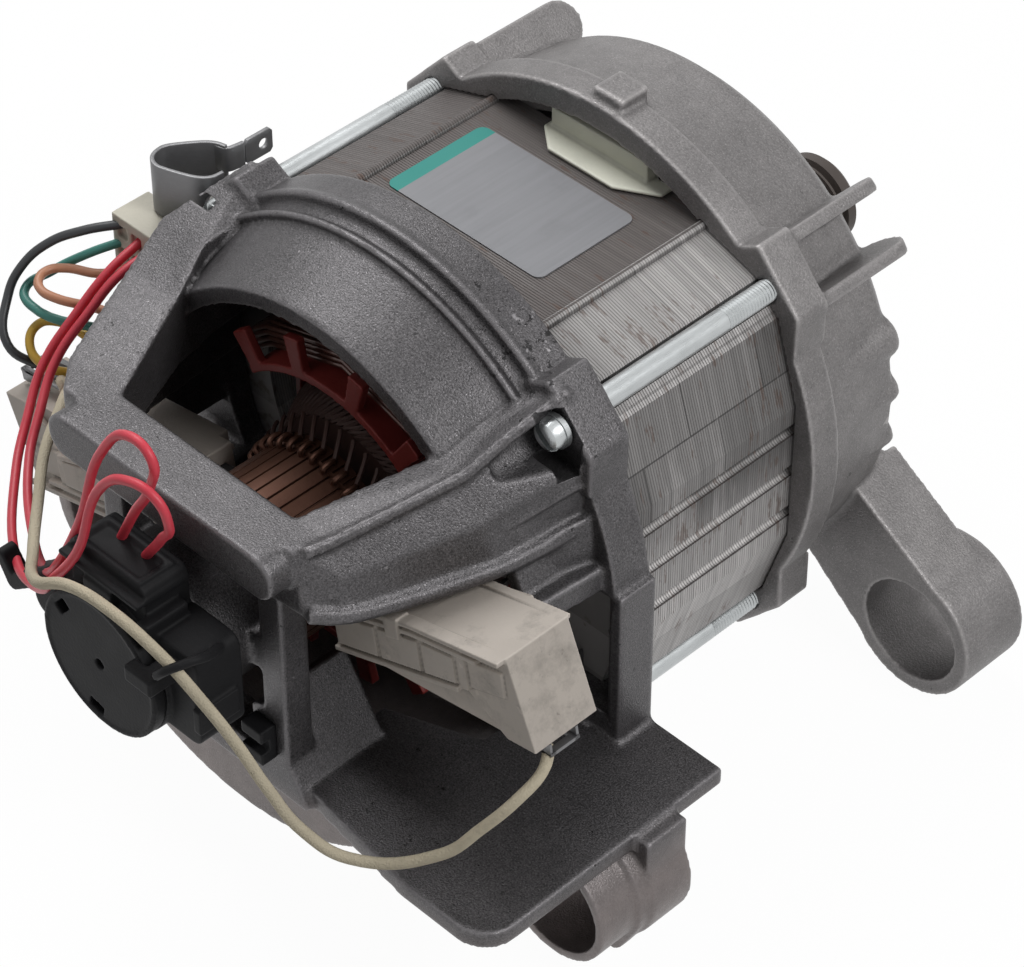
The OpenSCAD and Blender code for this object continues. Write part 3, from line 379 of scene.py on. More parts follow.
def metal_finish(name, base, rough, scratch, metallic=1.0, darkening=0.0):
    """Worked metal with fine lines, and with painted shade where it is shut in."""
    f = Finish(name)
    lines = f.noise(900, 3, 0.6, f.stretched(scratch))
    cloud = f.noise(60, 4, 0.6)
    ground = f.shade(base, 0.7 + 0.6 * cloud)
    face = f.mix(f.band(lines, 0.4, 0.8) * 0.3, ground, tone(base, 1.3))
    if darkening:
        # Painted shade: darker where ambient occlusion finds the surface shut in.
        shut = f.node("AmbientOcclusion", {"Distance": 1.6 * MM}, "AO", samples=8, only_local=True)
        face = f.mix(f.band(shut, 0.75, 0.35) * darkening, face, tone(base, 0.06))
    return f.done(
        Base_Color=face,
        Roughness=rough + 0.2 * (lines - 0.5) + 0.15 * (cloud - 0.5),
        Metallic=metallic,
        Normal=f.bump(lines, 0.15, 0.2 * MM),
    )


def lamination_finish(colours, pitch):
    """Edges of stacked sheets, burnished in patches, with painted light on the sloping faces and low on the
    sides, and stained on top.
    """
    f = Finish("lamination")
    sheet = (f.axis("Y") / pitch).fract()
    seam = f.band((sheet - 0.5).size(), 0.3, 0.48)
    sheet_tone = f.noise(0.5 / pitch, 2, 0.6, f.stretched((0.02, 1, 0.02)))
    streak = f.noise(260, 4, 0.65, f.stretched((0.12, 1, 0.12)))
    flat = f.node("CombineXYZ", {0: f.axis("Y"), 1: f.axis("Z")})
    panels = {
        "Vector": flat, "Color1": (1, 1, 1), "Color2": (0, 0, 0), "Mortar": (0, 0, 0), "Scale": 1.0,
        "Mortar Size": 0.2 * MM, "Brick Width": 21 * MM, "Row Height": 12.5 * MM,
    }
    panel = f.node("TexBrick", panels, "Color", offset=0.37)
    rub = f.node("SeparateColor", {0: panel})
    left = f.axis("X") < 0
    up = f.axis("Z", f.node("TexCoord", out="Normal"))
    # Painted light: sloping faces are made brighter, as if lit.
    painted_slope_light = f.band(up, 0.45, 0.65) * (1 - f.band(up, 0.955, 0.985))
    patch = f.noise(42, 5, 0.65)
    top = f.band(up + 0.4 * left, 0.955, 0.985)
    # Painted light: the lower part of the stack is made brighter, as if lit.
    painted_low_light = f.band(f.axis("Z") * -1, -12 * MM, 4 * MM)
    burnish_and_painted_light = 0.25 + 0.55 * rub + 0.6 * painted_slope_light + 0.9 * painted_low_light
    bright = f.shade(colours.lamination, (0.55 + 0.9 * sheet_tone) * burnish_and_painted_light)
    film = f.shade(colours.stain, 0.7 + 0.6 * sheet_tone)
    ground = f.mix(top * 0.9, bright, film)
    scratch = f.band(streak, 0.56, 0.72) * 0.4 * (1 - top * 0.8)
    scratched = f.mix(scratch, ground, tone(colours.lamination, 1.9))
    rust = f.band(f.noise(620, 4, 0.7, f.stretched((0.2, 1, 0.2))) + 0.6 * patch, 0.88, 0.96)
    rusted = f.mix(rust * 0.55, scratched, colours.rust)
    lined = f.mix(seam * 0.6, rusted, tone(colours.stain, 0.3))
    return f.done(
        Base_Color=lined,
        Roughness=0.42 + 0.25 * patch,
        Metallic=0.45,
        Normal=f.bump(1 - seam, 0.6, 0.3 * MM),
    )


def plate_finish(colours):
    """Satin sheet with a coloured strip along one end."""
    f = Finish("plate")
    low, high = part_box("rating_plate")
    strip = f.axis("X") < low[0] + 0.085 * (high[0] - low[0])
    brushed = f.noise(700, 3, 0.6, f.stretched((1, 0.05, 1)))
    smear = f.noise(90, 4, 0.6)
    satin = f.shade(colours.plate, 0.86 + 0.28 * brushed)
    smeared = f.mix(f.band(smear, 0.6, 0.8) * 0.3, satin, tone(colours.plate, 0.7))
    return f.done(
        Base_Color=f.mix(strip, smeared, colours.strip),
        Roughness=0.42 + 0.2 * smear,
        Metallic=0.25,
    )


def wire_finish(colours):
    """Varnished wire, glossy on the field coils and baked dull on the rotor."""
    f = Finish("enamelled_wire")
    gap = 29 * MM
    spread = f.axis("X") * f.axis("X") + f.axis("Z") * f.axis("Z")
    baked = 1 - f.band(spread, 0.94 * gap * gap, gap * gap)
    cloud = f.noise(120, 4, 0.6)
    varnish = f.band(f.noise(60, 3, 0.6), 0.5, 0.75)
    ground = f.shade(colours.wire, (0.6 + 0.8 * cloud) * (1 - 0.5 * baked))
    return f.done(
        Base_Color=f.mix(varnish * 0.5, ground, tone(colours.wire, 0.45)),
        Roughness=0.3 + 0.2 * cloud + 0.3 * baked,
        Metallic=0.3 - 0.3 * baked,
        Coat_Weight=0.35 - 0.35 * baked,
    )


def lead_finish(name, base, weave):
    """Smooth insulation, or a woven sleeve."""
    f = Finish(name)
    cloud = f.noise(160, 3, 0.6)
    grain = f.cells(2600) if weave else f.noise(1800, 2, 0.5)
    dirt = f.band(f.noise(220, 4, 0.7), 0.55, 0.75)
    ground = f.shade(base, 0.85 + 0.3 * cloud)
    return f.done(
        Base_Color=f.mix(dirt * (0.4 if weave else 0.15), ground, tone(base, 0.5)),
        Roughness=(0.75 if weave else 0.38) + 0.1 * cloud,
        Normal=f.bump(grain, 0.5 if weave else 0.08, 0.3 * MM),
    )


def make_finishes(scene):
    c = scene.motor_colours
    lathe = (1, 8, 1)
    rows = {
        cast_finish: {
            "rear_casting": (c.rear_casting, 2600, 0.6, 0.34, 0.5, CHIPS, c.dust_and_painted_light),
            "front_casting": (c.front_casting, 2200, 0.5, 0.42, 0.22),
        },
        moulded_finish: {
            "red_plastic": (c.former, 0.5),
            "nylon": (c.nylon, 0.2, 0.45),
            "black_plastic": (c.charcoal, 0.2, 0.55, 0.12),
            "magnet": (c.charcoal, 0.2, 0.6),
            "cream_plastic": (c.holder, 0.85, 0.55),
            "carbon": (c.carbon, 0.1, 0.6),
            "pale_plastic": (c.connector, 0.35),
        },
        metal_finish: {
            "rotor_steel": (c.ground, 0.34, (1, 6, 1)),
            "copper": (c.copper, 0.45, lathe, 0.7),
            "zinc": (c.zinc, 0.3, (4, 0.4, 4), 0.85, 0.9),
            "bearing_steel": (c.ground, 0.25, lathe),
            "pulley_steel": (c.pulley, 0.55, lathe, 0.5),
            "plain_steel": (c.steel, 0.42, (1, 1, 3), 0.6),
        },
    }
    made = {
        "lamination": lamination_finish(c, scene.motor_sizes.lamination),
        "enamelled_wire": wire_finish(c),
        "plate": plate_finish(c),
    }
    for finish, slots in rows.items():
        made.update({slot: finish(slot, *values) for slot, values in slots.items()})
    for name in ("cream", "red", "black", "green", "orange", "yellow"):
        slot = name + "_cord"
        made[slot] = lead_finish(slot, getattr(c, name + "_lead"), weave=name == "cream")
    return made


FINISHES = {}


def dress(made, slot):
    made.data.materials.clear()
    made.data.materials.append(FINISHES[slot])


def linked(name, data):
    """A new object in the scene."""
    made = bpy.data.objects.new(name, data)
    bpy.context.scene.collection.objects.link(made)
    return made


def as_mesh(bm, name):
    """A mesh from a bmesh, which is freed."""
    mesh = bpy.data.meshes.new(name)
    bm.to_mesh(mesh)
    bm.free()
    return mesh


def piece(bm, name, slot, *nodes, body="frame", sharp=None):
    """A piece from a bmesh, smooth but for edges over an angle in degrees."""
    mesh = as_mesh(bm, name)
    mesh.shade_smooth()
    if sharp is not None:
        mesh.set_sharp_from_angle(angle=radians(sharp))
    made = linked(name, mesh)
    settle(made, slot, body, *nodes)
    return made


def settle(made, slot, body, *nodes):
    """Gives a piece the finish of its slot and its body, and hides the solids it stands for."""
    dress(made, slot)
    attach(made, body)
    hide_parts(*nodes)


def copied(node):
    bm = bmesh.new()
    bm.from_mesh(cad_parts[node].data)
    bmesh.ops.remove_doubles(bm, verts=bm.verts, dist=1e-6)
    return bm


def evaluated_mesh(made):
    depsgraph = bpy.context.evaluated_depsgraph_get()
    return bpy.data.meshes.new_from_object(made.evaluated_get(depsgraph))


def modify(made, kind, **settings):
    modifier = made.modifiers.new(kind.lower(), kind)
    for key, value in settings.items():
        setattr(modifier, key, value)


def apply_modifiers(made):
    """Makes what the modifiers give the piece's own mesh."""
    old = made.data
    mesh = evaluated_mesh(made)
    made.modifiers.clear()
    made.data = mesh
    bpy.data.meshes.remove(old)


def melted(bm, name, slot, node, step, most, rounds=1):
    """A piece whose shapes are melted into one skin with soft edges."""
    made = piece(bm, name, slot, node)
    modify(made, "REMESH", mode="VOXEL", voxel_size=step, use_smooth_shade=True)
    modify(made, "SMOOTH", factor=0.5, iterations=rounds)
    apply_modifiers(made)
    count = sum(len(p.vertices) - 2 for p in made.data.polygons)
    if count > most:
        modify(made, "DECIMATE", ratio=most / count)
        apply_modifiers(made)
    made.data.shade_smooth()
    return made


def carved(made, cutter):
    """Takes the cutter's closed shapes out of a closed piece."""
    mesh = as_mesh(cutter, "cutter")
    tool = linked("cutter", mesh)
    modify(made, "BOOLEAN", operation="DIFFERENCE", solver="EXACT", object=tool)
    apply_modifiers(made)
    bpy.data.objects.remove(tool)
    bpy.data.meshes.remove(mesh)


def face_out(bm):
    bmesh.ops.recalc_face_normals(bm, faces=bm.faces)


def turned(bm, profile, centre=(0, 0), steps=48):
    """Turns a profile of (radius, y) places about an axis along Y."""
    verts = [bm.verts.new((centre[0] + r, y, centre[1])) for r, y in profile]
    edges = [bm.edges.new(pair) for pair in zip(verts, verts[1:])]
    bmesh.ops.spin(
        bm, geom=verts + edges, cent=(centre[0], 0, centre[1]), axis=(0, 1, 0), angle=2 * pi,
        steps=steps, use_merge=True,
    )
    bmesh.ops.remove_doubles(bm, verts=bm.verts, dist=1e-7)
    face_out(bm)


def block(bm, low, high, bevel=0.0):
    """A box between two corners, in millimetres, with edges that may be rounded."""
    low, high = [Vector([value * MM for value in corner]) for corner in (low, high)]
    placed = Matrix.Translation((high + low) / 2) @ Matrix.Diagonal((*(high - low), 1))
    made = bmesh.ops.create_cube(bm, size=1, matrix=placed)
    if bevel:
        edges = {edge for vert in made["verts"] for edge in vert.link_edges}
        bmesh.ops.bevel(
            bm, geom=list(edges), offset=bevel * MM, affect="EDGES", segments=2, profile=0.5, material=-1
        )


def lofted(bm, sections):
    """A solid through sections, in millimetres, that have the same number of corners."""
    loops = []
    for section in sections:
        verts = [bm.verts.new(Vector(corner) * MM) for corner in section]
        loops.append([bm.edges.new(pair) for pair in zip(verts, verts[1:] + verts[:1])])
    faces = []
    for near, far in zip(loops, loops[1:]):
        faces += bmesh.ops.bridge_loops(bm, edges=near + far)["faces"]
    faces += bmesh.ops.holes_fill(bm, edges=loops[0] + loops[-1], sides=0)["faces"]
    bmesh.ops.recalc_face_normals(bm, faces=faces)


def smoothed(points, steps=6):
    """More points on a smooth line through points."""
    ends = [points[0], *points, points[-1]]
    line = []
    for before, start, end, after in zip(ends, ends[1:], ends[2:], ends[3:]):
        for k in range(steps):
            t = k / steps
            line.append(tuple(
                0.5 * (
                    2 * b + (c - a) * t + (2 * a - 5 * b + 4 * c - d) * t * t
                    + (3 * b - a - 3 * c + d) * t ** 3
                )
                for a, b, c, d in zip(before, start, end, after)
            ))
    return line + [tuple(points[-1])]


def polar(radius, angle, y):
    """A place about the shaft."""
    return radius * cos(angle), y, radius * sin(angle)


def arc(radius, y, degrees):
    return [polar(radius, radians(angle), y) for angle in degrees]


def rail(bm, points, radius):
    """A round rail along a smooth line, in millimetres, as part of a bmesh."""
    added(bm, wire("rail", [Vector(place) * MM for place in smoothed(points)], radius * MM))


def added(bm, mesh):
    """Adds a mesh to a bmesh and removes it."""
    bm.from_mesh(mesh)
    bpy.data.meshes.remove(mesh)


def joined(bm, other):
    """Adds the other bmesh to the first and frees it."""
    added(bm, as_mesh(other, "joined"))


def round_curve(name, radius, sides):
    """A curve with a round section and no points yet."""
    line = bpy.data.curves.new(name, "CURVE")
    line.dimensions = "3D"
    line.bevel_depth = radius
    line.bevel_resolution = sides
    line.use_fill_caps = True
    return line


def wire(name, points, radius, sides=2):
    """A round wire along points, as a mesh."""
    line = round_curve(name, radius, sides)
    spline = line.splines.new("POLY")
    spline.points.add(len(points) - 1)
    for place, target in zip(points, spline.points):
        target.co = (*place, 1)
    holder = linked(name, line)
    mesh = evaluated_mesh(holder)
    bpy.data.objects.remove(holder)
    bpy.data.curves.remove(line)
    return mesh


def wires(name, runs, radius, slot, *nodes, sides=2):
    """A piece of round wires along several runs."""
    bm = bmesh.new()
    for run in runs:
        added(bm, wire(name, run, radius, sides))
    face_out(bm)
    return piece(bm, name, slot, *nodes)


class MotorMaking:
    """Shared start of the motor's operators."""

    bl_options = {"REGISTER", "UNDO"}

    def execute(self, context):
        self.make(context.scene.motor_sizes)
        return {"FINISHED"}


class MOTOR_OT_stage(MotorMaking, bpy.types.Operator):
    """Sets the camera, the lamps and the pale floor."""

    bl_idname = "motor.stage"
    bl_label = "Stage"

    def make(self, sizes):
        scene = bpy.context.scene
        scene.view_settings.view_transform = "Standard"
        self.camera(scene)
        for name, values in LAMPS.items():
            self.lamp(name, *values)
        self.surroundings(scene)
        self.floor()

    def camera(self, scene):
        data = bpy.data.cameras.new("camera")
        data.lens = 133.2
        data.sensor_width = 36
        made = linked("camera", data)
        azimuth, elevation = radians(45.2), radians(42.2)
        target = Vector((-6.07, -81.5, -32.17)) * MM
        distance = 0.811
        back = Vector((
            sin(azimuth) * cos(elevation),
            -cos(azimuth) * cos(elevation),
            sin(elevation),
        ))
        made.location = target + back * distance
        made.rotation_euler = (pi / 2 - elevation, 0, azimuth)
        scene.camera = made

    def lamp(self, name, place, size, power):
        data = bpy.data.lights.new(name, "AREA")
        data.shape = "DISK"
        data.size = size
        data.energy = power
        made = linked(name, data)
        made.location = place
        aim = Vector(LAMP_TARGET) - Vector(place)
        made.rotation_euler = aim.to_track_quat("-Z", "Y").to_euler()

    def surroundings(self, scene):
        scene.world = bpy.data.worlds.new("surroundings")
        sky = NodeTree(scene.world)
        strength = sky.backdrop_seen() * 0.88 + 0.12
        white = sky.node("Background", {"Color": (1, 1, 1), "Strength": strength})
        sky.node("OutputWorld", {"Surface": white})

    def floor(self):
        bm = bmesh.new()
        bmesh.ops.create_grid(bm, x_segments=1, y_segments=1, size=4)
        bmesh.ops.translate(bm, verts=bm.verts, vec=(0, 0, CAD_BOX[0][2] - 0.4 * MM))
        mesh = as_mesh(bm, "floor")
        material = bpy.data.materials.new("floor")
        paint = NodeTree(material)
        glow = paint.node("Emission", {"Color": (1, 1, 1), "Strength": 1.04})
        matt = paint.node("BsdfDiffuse", {"Color": (0.55, 0.55, 0.55)})
        seen = paint.backdrop_seen() * 0.93
        blend = paint.node("MixShader", {0: seen, 1: matt, 2: glow})
        paint.node("OutputMaterial", {"Surface": blend})
        mesh.materials.append(material)
        linked("floor", mesh)


class MOTOR_OT_leads(MotorMaking, bpy.types.Operator):
    """Lays the leads along their routes."""

    bl_idname = "motor.leads"
    bl_label = "Leads"

    def make(self, sizes):
        for node, route in ROUTES.items():
            thick = sizes.sleeve_d if node == "cream_lead" else sizes.lead_d
            self.lead(node, [Vector(place) * MM for place in route], thick)

    def lead(self, node, route, thick):
        line = round_curve(node + "_line", thick / 2, 3)
        line.resolution_u = 8
        spline = line.splines.new("BEZIER")
        spline.bezier_points.add(len(route) - 1)
        for place, target in zip(route, spline.bezier_points):
            target.co = place
            target.handle_left_type = target.handle_right_type = "AUTO"
        made = linked(node + "_cord", line)
        bpy.context.view_layer.update()
        settle(made, node.split("_")[0] + "_cord", "frame", node)


class MOTOR_OT_castings(MotorMaking, bpy.types.Operator):
    """Makes the two cast shields."""

    bl_idname = "motor.castings"
    bl_label = "Castings"

    def make(self, sizes):
        rear = copied("rear_shield")
        self.beam_ribs(rear)
        self.rim_beads(rear)
        slot, grain = "rear_casting", sizes.cast_grain
        made = melted(rear, slot, slot, "rear_shield", grain, most=190000, rounds=2)
        carved(made, self.hollows())
        front = copied("front_shield")
        self.ejector_marks(front)
        slot = "front_casting"
        melted(front, slot, slot, "front_shield", grain, most=195000, rounds=2)

    def hollows(self):
        """The space behind the right flank and the deep side of the bolt's pocket."""
        bm = bmesh.new()
        block(bm, (48, -123, -26), (60.6, -113.6, 6.2))
        block(bm, (45, -127, 34), (53.2, -121.4, 47.2))
        return bm

    def beam_ribs(self, bm):
        """The bar under the left beam, and the ridge, lip and step along the right one."""
        block(bm, (-56, -141, -12), (-52, -119, 0))
        ridge = [
            (45.6, -119, 49.2), (43.1, -131, 44.9), (41.1, -142, 40), (37, -156, 37.4), (33.4, -168, 35.3),
            (31.8, -174, 35),
        ]
        shape = [(-9, -3.4), (1.4, 0.8), (2.2, -1.0), (0.4, -3.4), (-9, -4.4)]
        lofted(bm, [[(x + out, y, z + up) for out, up in shape] for x, y, z in ridge])
        lip = [
            (53.4, -117, 21.6), (52.4, -126, 21), (51.2, -134, 20.6), (49.6, -142, 20.4), (46, -152, 20),
            (42.4, -161, 19.8), (38.6, -170, 20.2), (34.6, -175.5, 21.4),
        ]
        step = [
            (54.4, -117, 33), (51.6, -127, 30.2), (48.7, -138, 27.8), (44.4, -151, 25.6), (40.2, -163, 24.8),
            (36.4, -172, 24.6),
        ]
        rail(bm, lip, 2.1)
        rail(bm, step, 0.8)

    def rim_beads(self, bm):
        for y, around, radius in ((-120.1, 61.9, 1.1), (-125.2, 59.9, 0.9)):
            rail(bm, arc(around, y, range(50, 131, 4)), radius)

    def ejector_marks(self, bm):
        shape = [(0, -36.3), (1.7, -36.3), (1.9, -35.6), (1.9, -37), (0, -37)]
        for x, z in ((58, -26), (64, -34)):
            turned(bm, [(r * MM, y * MM) for r, y in shape], (x * MM, z * MM), 20)


class MOTOR_OT_stack(MotorMaking, bpy.types.Operator):
    """Finishes the lamination stack and its plate, and makes the tie bolts."""

    bl_idname = "motor.stack"
    bl_label = "Stack"

    def make(self, sizes):
        dress(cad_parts["stator_core"], "lamination")
        dress(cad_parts["rating_plate"], "plate")
        bm = bmesh.new()
        low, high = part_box("tie_bolts")
        for side in (-1, 1):
            for level in (-1, 1):
                self.bolt(bm, (side * BOLT_X, level * BOLT_Z), low[1], high[1], sizes.thread_pitch)
        piece(bm, "tie_bolts_zinc", "zinc", "tie_bolts", sharp=35)

    def bolt(self, bm, centre, head_y, tip_y, pitch):
        """A shank with a thread at its tip, turned from one profile, and its head."""
        radius = 2.5 * MM
        root = radius - 0.32 * MM
        threaded = 21 * MM
        groove = ((root, 0.3), (root, 0.45), (radius, 0.9))
        profile = [(0.0, BOSS_FACE), (radius, BOSS_FACE), (radius, tip_y - threaded)]
        for k in range(int((threaded - 1 * MM) / pitch)):
            start = tip_y - threaded + k * pitch
            profile += [(r, start + part * pitch) for r, part in groove]
        profile += [(root, tip_y - 0.6 * MM), (root - 0.5 * MM, tip_y), (0.0, tip_y)]
        turned(bm, profile, centre, 24)
        self.head(bm, centre, head_y)

    def head(self, bm, centre, head_y):
        """A round head with a slot across it, on a thin collar."""
        radius, slot, turn = 3.5 * MM, 0.8 * MM, 0.83
        across = Vector((cos(turn), 0, sin(turn)))
        middle = Vector((centre[0], 0, centre[1]))
        head_h = BOSS_FACE - head_y
        base = head_y + 0.72 * head_h
        brim = radius + 0.3 * MM
        profile = [
            (0.0, head_y), (0.6 * radius, head_y), (0.86 * radius, head_y + 0.13 * head_h),
            (0.97 * radius, head_y + 0.35 * head_h), (radius, base), (0.0, base),
        ]
        for side in (-1, 1):
            half = bmesh.new()
            turned(half, profile, centre, 24)
            parted = bmesh.ops.bisect_plane(
                half, geom=half.verts[:] + half.edges[:] + half.faces[:],
                plane_co=middle + slot * side * across, plane_no=across * side, clear_inner=True,
            )
            rim = [item for item in parted["geom_cut"] if isinstance(item, bmesh.types.BMEdge)]
            bmesh.ops.holes_fill(half, edges=rim, sides=0)
            joined(bm, half)
        turned(bm, [(0.0, base), (brim, base), (brim, BOSS_FACE), (0.0, BOSS_FACE)], centre, 24)


class MOTOR_OT_field(MotorMaking, bpy.types.Operator):
    """Winds the field coils and moulds their formers."""

    bl_idname = "motor.field"
    bl_label = "Field coils"

    def make(self, sizes):
        for name, up in (("upper", 90), ("lower", -90)):
            self.coil(name, up, sizes)
        for node, slot in (("coil_former_rear", "red_plastic"), ("coil_former_front", "nylon")):
            bm = copied(node)
            if slot == "nylon":
                self.flat_tab(bm)
            melted(bm, node + "_moulding", slot, node, sizes.mould_grain, most=120000)

    def flat_tab(self, bm):
        """The flat end of the front former's tab, which lies on the stack."""
        outline = [(-15, -60), (-15, -63.5), (-9, -68.5), (9, -68.5), (18, -63.5), (18, -60)]
        lofted(bm, [[(x, y, z) for x, y in outline] for z in (48.35, 49.2)])

    def coil(self, name, up, sizes):
        layers = (39.6, 38.3, 37.0, 35.7)
        runs = [self.loops(up, layer_r * MM, sizes.coil_loops) for layer_r in layers]
        nodes = ("field_winding_" + name, "field_core_" + name)
        wires("field_coil_" + name, runs, sizes.wire_d / 2, "enamelled_wire", *nodes)

    def loops(self, up, layer_r, turns):
        """One layer of a coil, wound outwards round a pole."""
        steps = 40
        pitch = 1.45 * MM
        middle = (STACK_FRONT + STACK_REAR) / 2
        half = (STACK_FRONT - STACK_REAR) / 2 + 3 * MM
        points = []
        for k in range(turns * steps + 1):
            turn = k / steps
            angle = 2 * pi * turn
            across = (layer_r * radians(39.5) + 0.7 * pitch * turn) * self.squared(cos(angle))
            along = (half + pitch * turn) * self.squared(sin(angle))
            points.append(polar(layer_r, radians(up) + across / layer_r, middle + along))
        return points

    def squared(self, x):
        return copysign(abs(x) ** 0.25, x)


class MOTOR_OT_rotor(MotorMaking, bpy.types.Operator):
    """Makes the commutator and the rotor's wires, and finishes the other turning pieces and the bearings."""

    bl_idname = "motor.rotor"
    bl_label = "Rotor"

    def make(self, sizes):
        plain = {
            "rotor_steel": ("shaft", "armature_core"),
            "black_plastic": ("cooling_fan",),
            "pulley_steel": ("drive_pulley",),
            "magnet": ("sensor_magnet",),
            "bearing_steel": [
                end + "_bearing_" + part for end in ("front", "rear") for part in ("outer", "balls", "inner")
            ],
        }
        for slot, nodes in plain.items():
            for node in nodes:
                dress(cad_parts[node], slot)
        self.commutator(sizes.bars)
        self.end_turns(sizes.bars)
        self.pickup_coil()

    def commutator(self, bars):
        """Copper bars with slits between them and a hook on each."""
        near, far = [corner[1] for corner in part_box("commutator")]
        radius, bore, edge = 18 * MM, 7 * MM, 0.4 * MM
        riser = far - 4 * MM
        columns = 6
        bm = bmesh.new()
        turned(bm, [
            (bore, far), (radius + 2 * edge, far), (radius + 2 * edge, riser), (radius, riser - edge),
            (radius, near + edge), (radius - edge, near), (bore, near), (bore, far),
        ], steps=bars * columns)
        slits = []
        for face in bm.faces:
            middle = face.calc_center_median()
            around = hypot(middle.x, middle.z)
            column = atan2(middle.z, middle.x) / (2 * pi) * bars % 1
            if around > radius - 0.3 * MM and column < 1 / columns and abs(face.normal.y) < 0.5:
                slits.append(face)
        bmesh.ops.inset_region(bm, faces=slits, thickness=0.02 * MM, depth=-1 * MM)
        for k in range(bars):
            self.hook(bm, (k + HOOK_PLACE) / bars * 2 * pi, radius, riser)
        piece(bm, "commutator_bars", "copper", "commutator", body="rotor", sharp=40)

    def hook(self, bm, angle, radius, riser):
        shape = [(0, -1.0), (1.1, -1.0), (1.6, 0.2), (1.5, 1.6), (0.7, 2.2)]
        rail(bm, [polar(radius / MM + out, angle, riser / MM + along) for out, along in shape], 0.6)

    def end_turns(self, slots):
        """Two bells of varnish with the turns that lie over them, and the tails to the hooks."""
        low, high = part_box("armature_core")
        bells = {
            "rear": [(26, -0.5), (27, -5), (25.4, -10), (23.4, -15.5), (20, -21)],
            "front": [(25, 0.5), (26, 4), (24.4, 8), (20, 9.4)],
        }
        bore = 9 * MM
        bm = bmesh.new()
        runs = []
        for end, face in (("rear", low[1]), ("front", high[1])):
            bell = [(r * MM, face + along * MM) for r, along in bells[end]]
            core = [(r - 0.4 * MM, y) for r, y in bell]
            start = (bore, core[0][1])
            turned(bm, [start, *core, (bore, core[-1][1]), start])
            for lean in (1.3, 0.7):
                runs += [self.turn_over(bell, k * pi / slots, lean) for k in range(2 * slots)]
        hook_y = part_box("commutator")[1][1] - 2 * MM
        for k in range(slots):
            angle = (k + HOOK_PLACE) / slots * 2 * pi
            tail = [(19.2 * MM, hook_y), (20.6 * MM, hook_y + 2.5 * MM), (21.4 * MM, hook_y + 5 * MM)]
            runs.append(self.turn_over(tail, angle, 0.2))
        for run in runs:
            added(bm, wire("turn", run, 0.5 * MM, 1))
        piece(bm, "armature_end_turns", "enamelled_wire", "armature_winding", body="rotor", sharp=50)

    def turn_over(self, bell, start, lean):
        """A wire over a bell that leans round the shaft from its start."""
        line = smoothed(bell, 4)
        last = len(line) - 1
        return [polar(r, start + lean * k / last, y) for k, (r, y) in enumerate(line)]

    def pickup_coil(self):
        near, far = [corner[1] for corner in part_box("sensor_coil")]
        radius, margin = 12.6 * MM, 0.6 * MM
        turns, steps = 9, 36
        points = []
        for k in range(turns * steps):
            angle = k / steps * 2 * pi
            y = near + margin + (far - near - 2 * margin) * k / (turns * steps)
            points.append(polar(radius, angle, y))
        wires("pickup_coil", [points], 0.45 * MM, "enamelled_wire", "sensor_coil", sides=1)


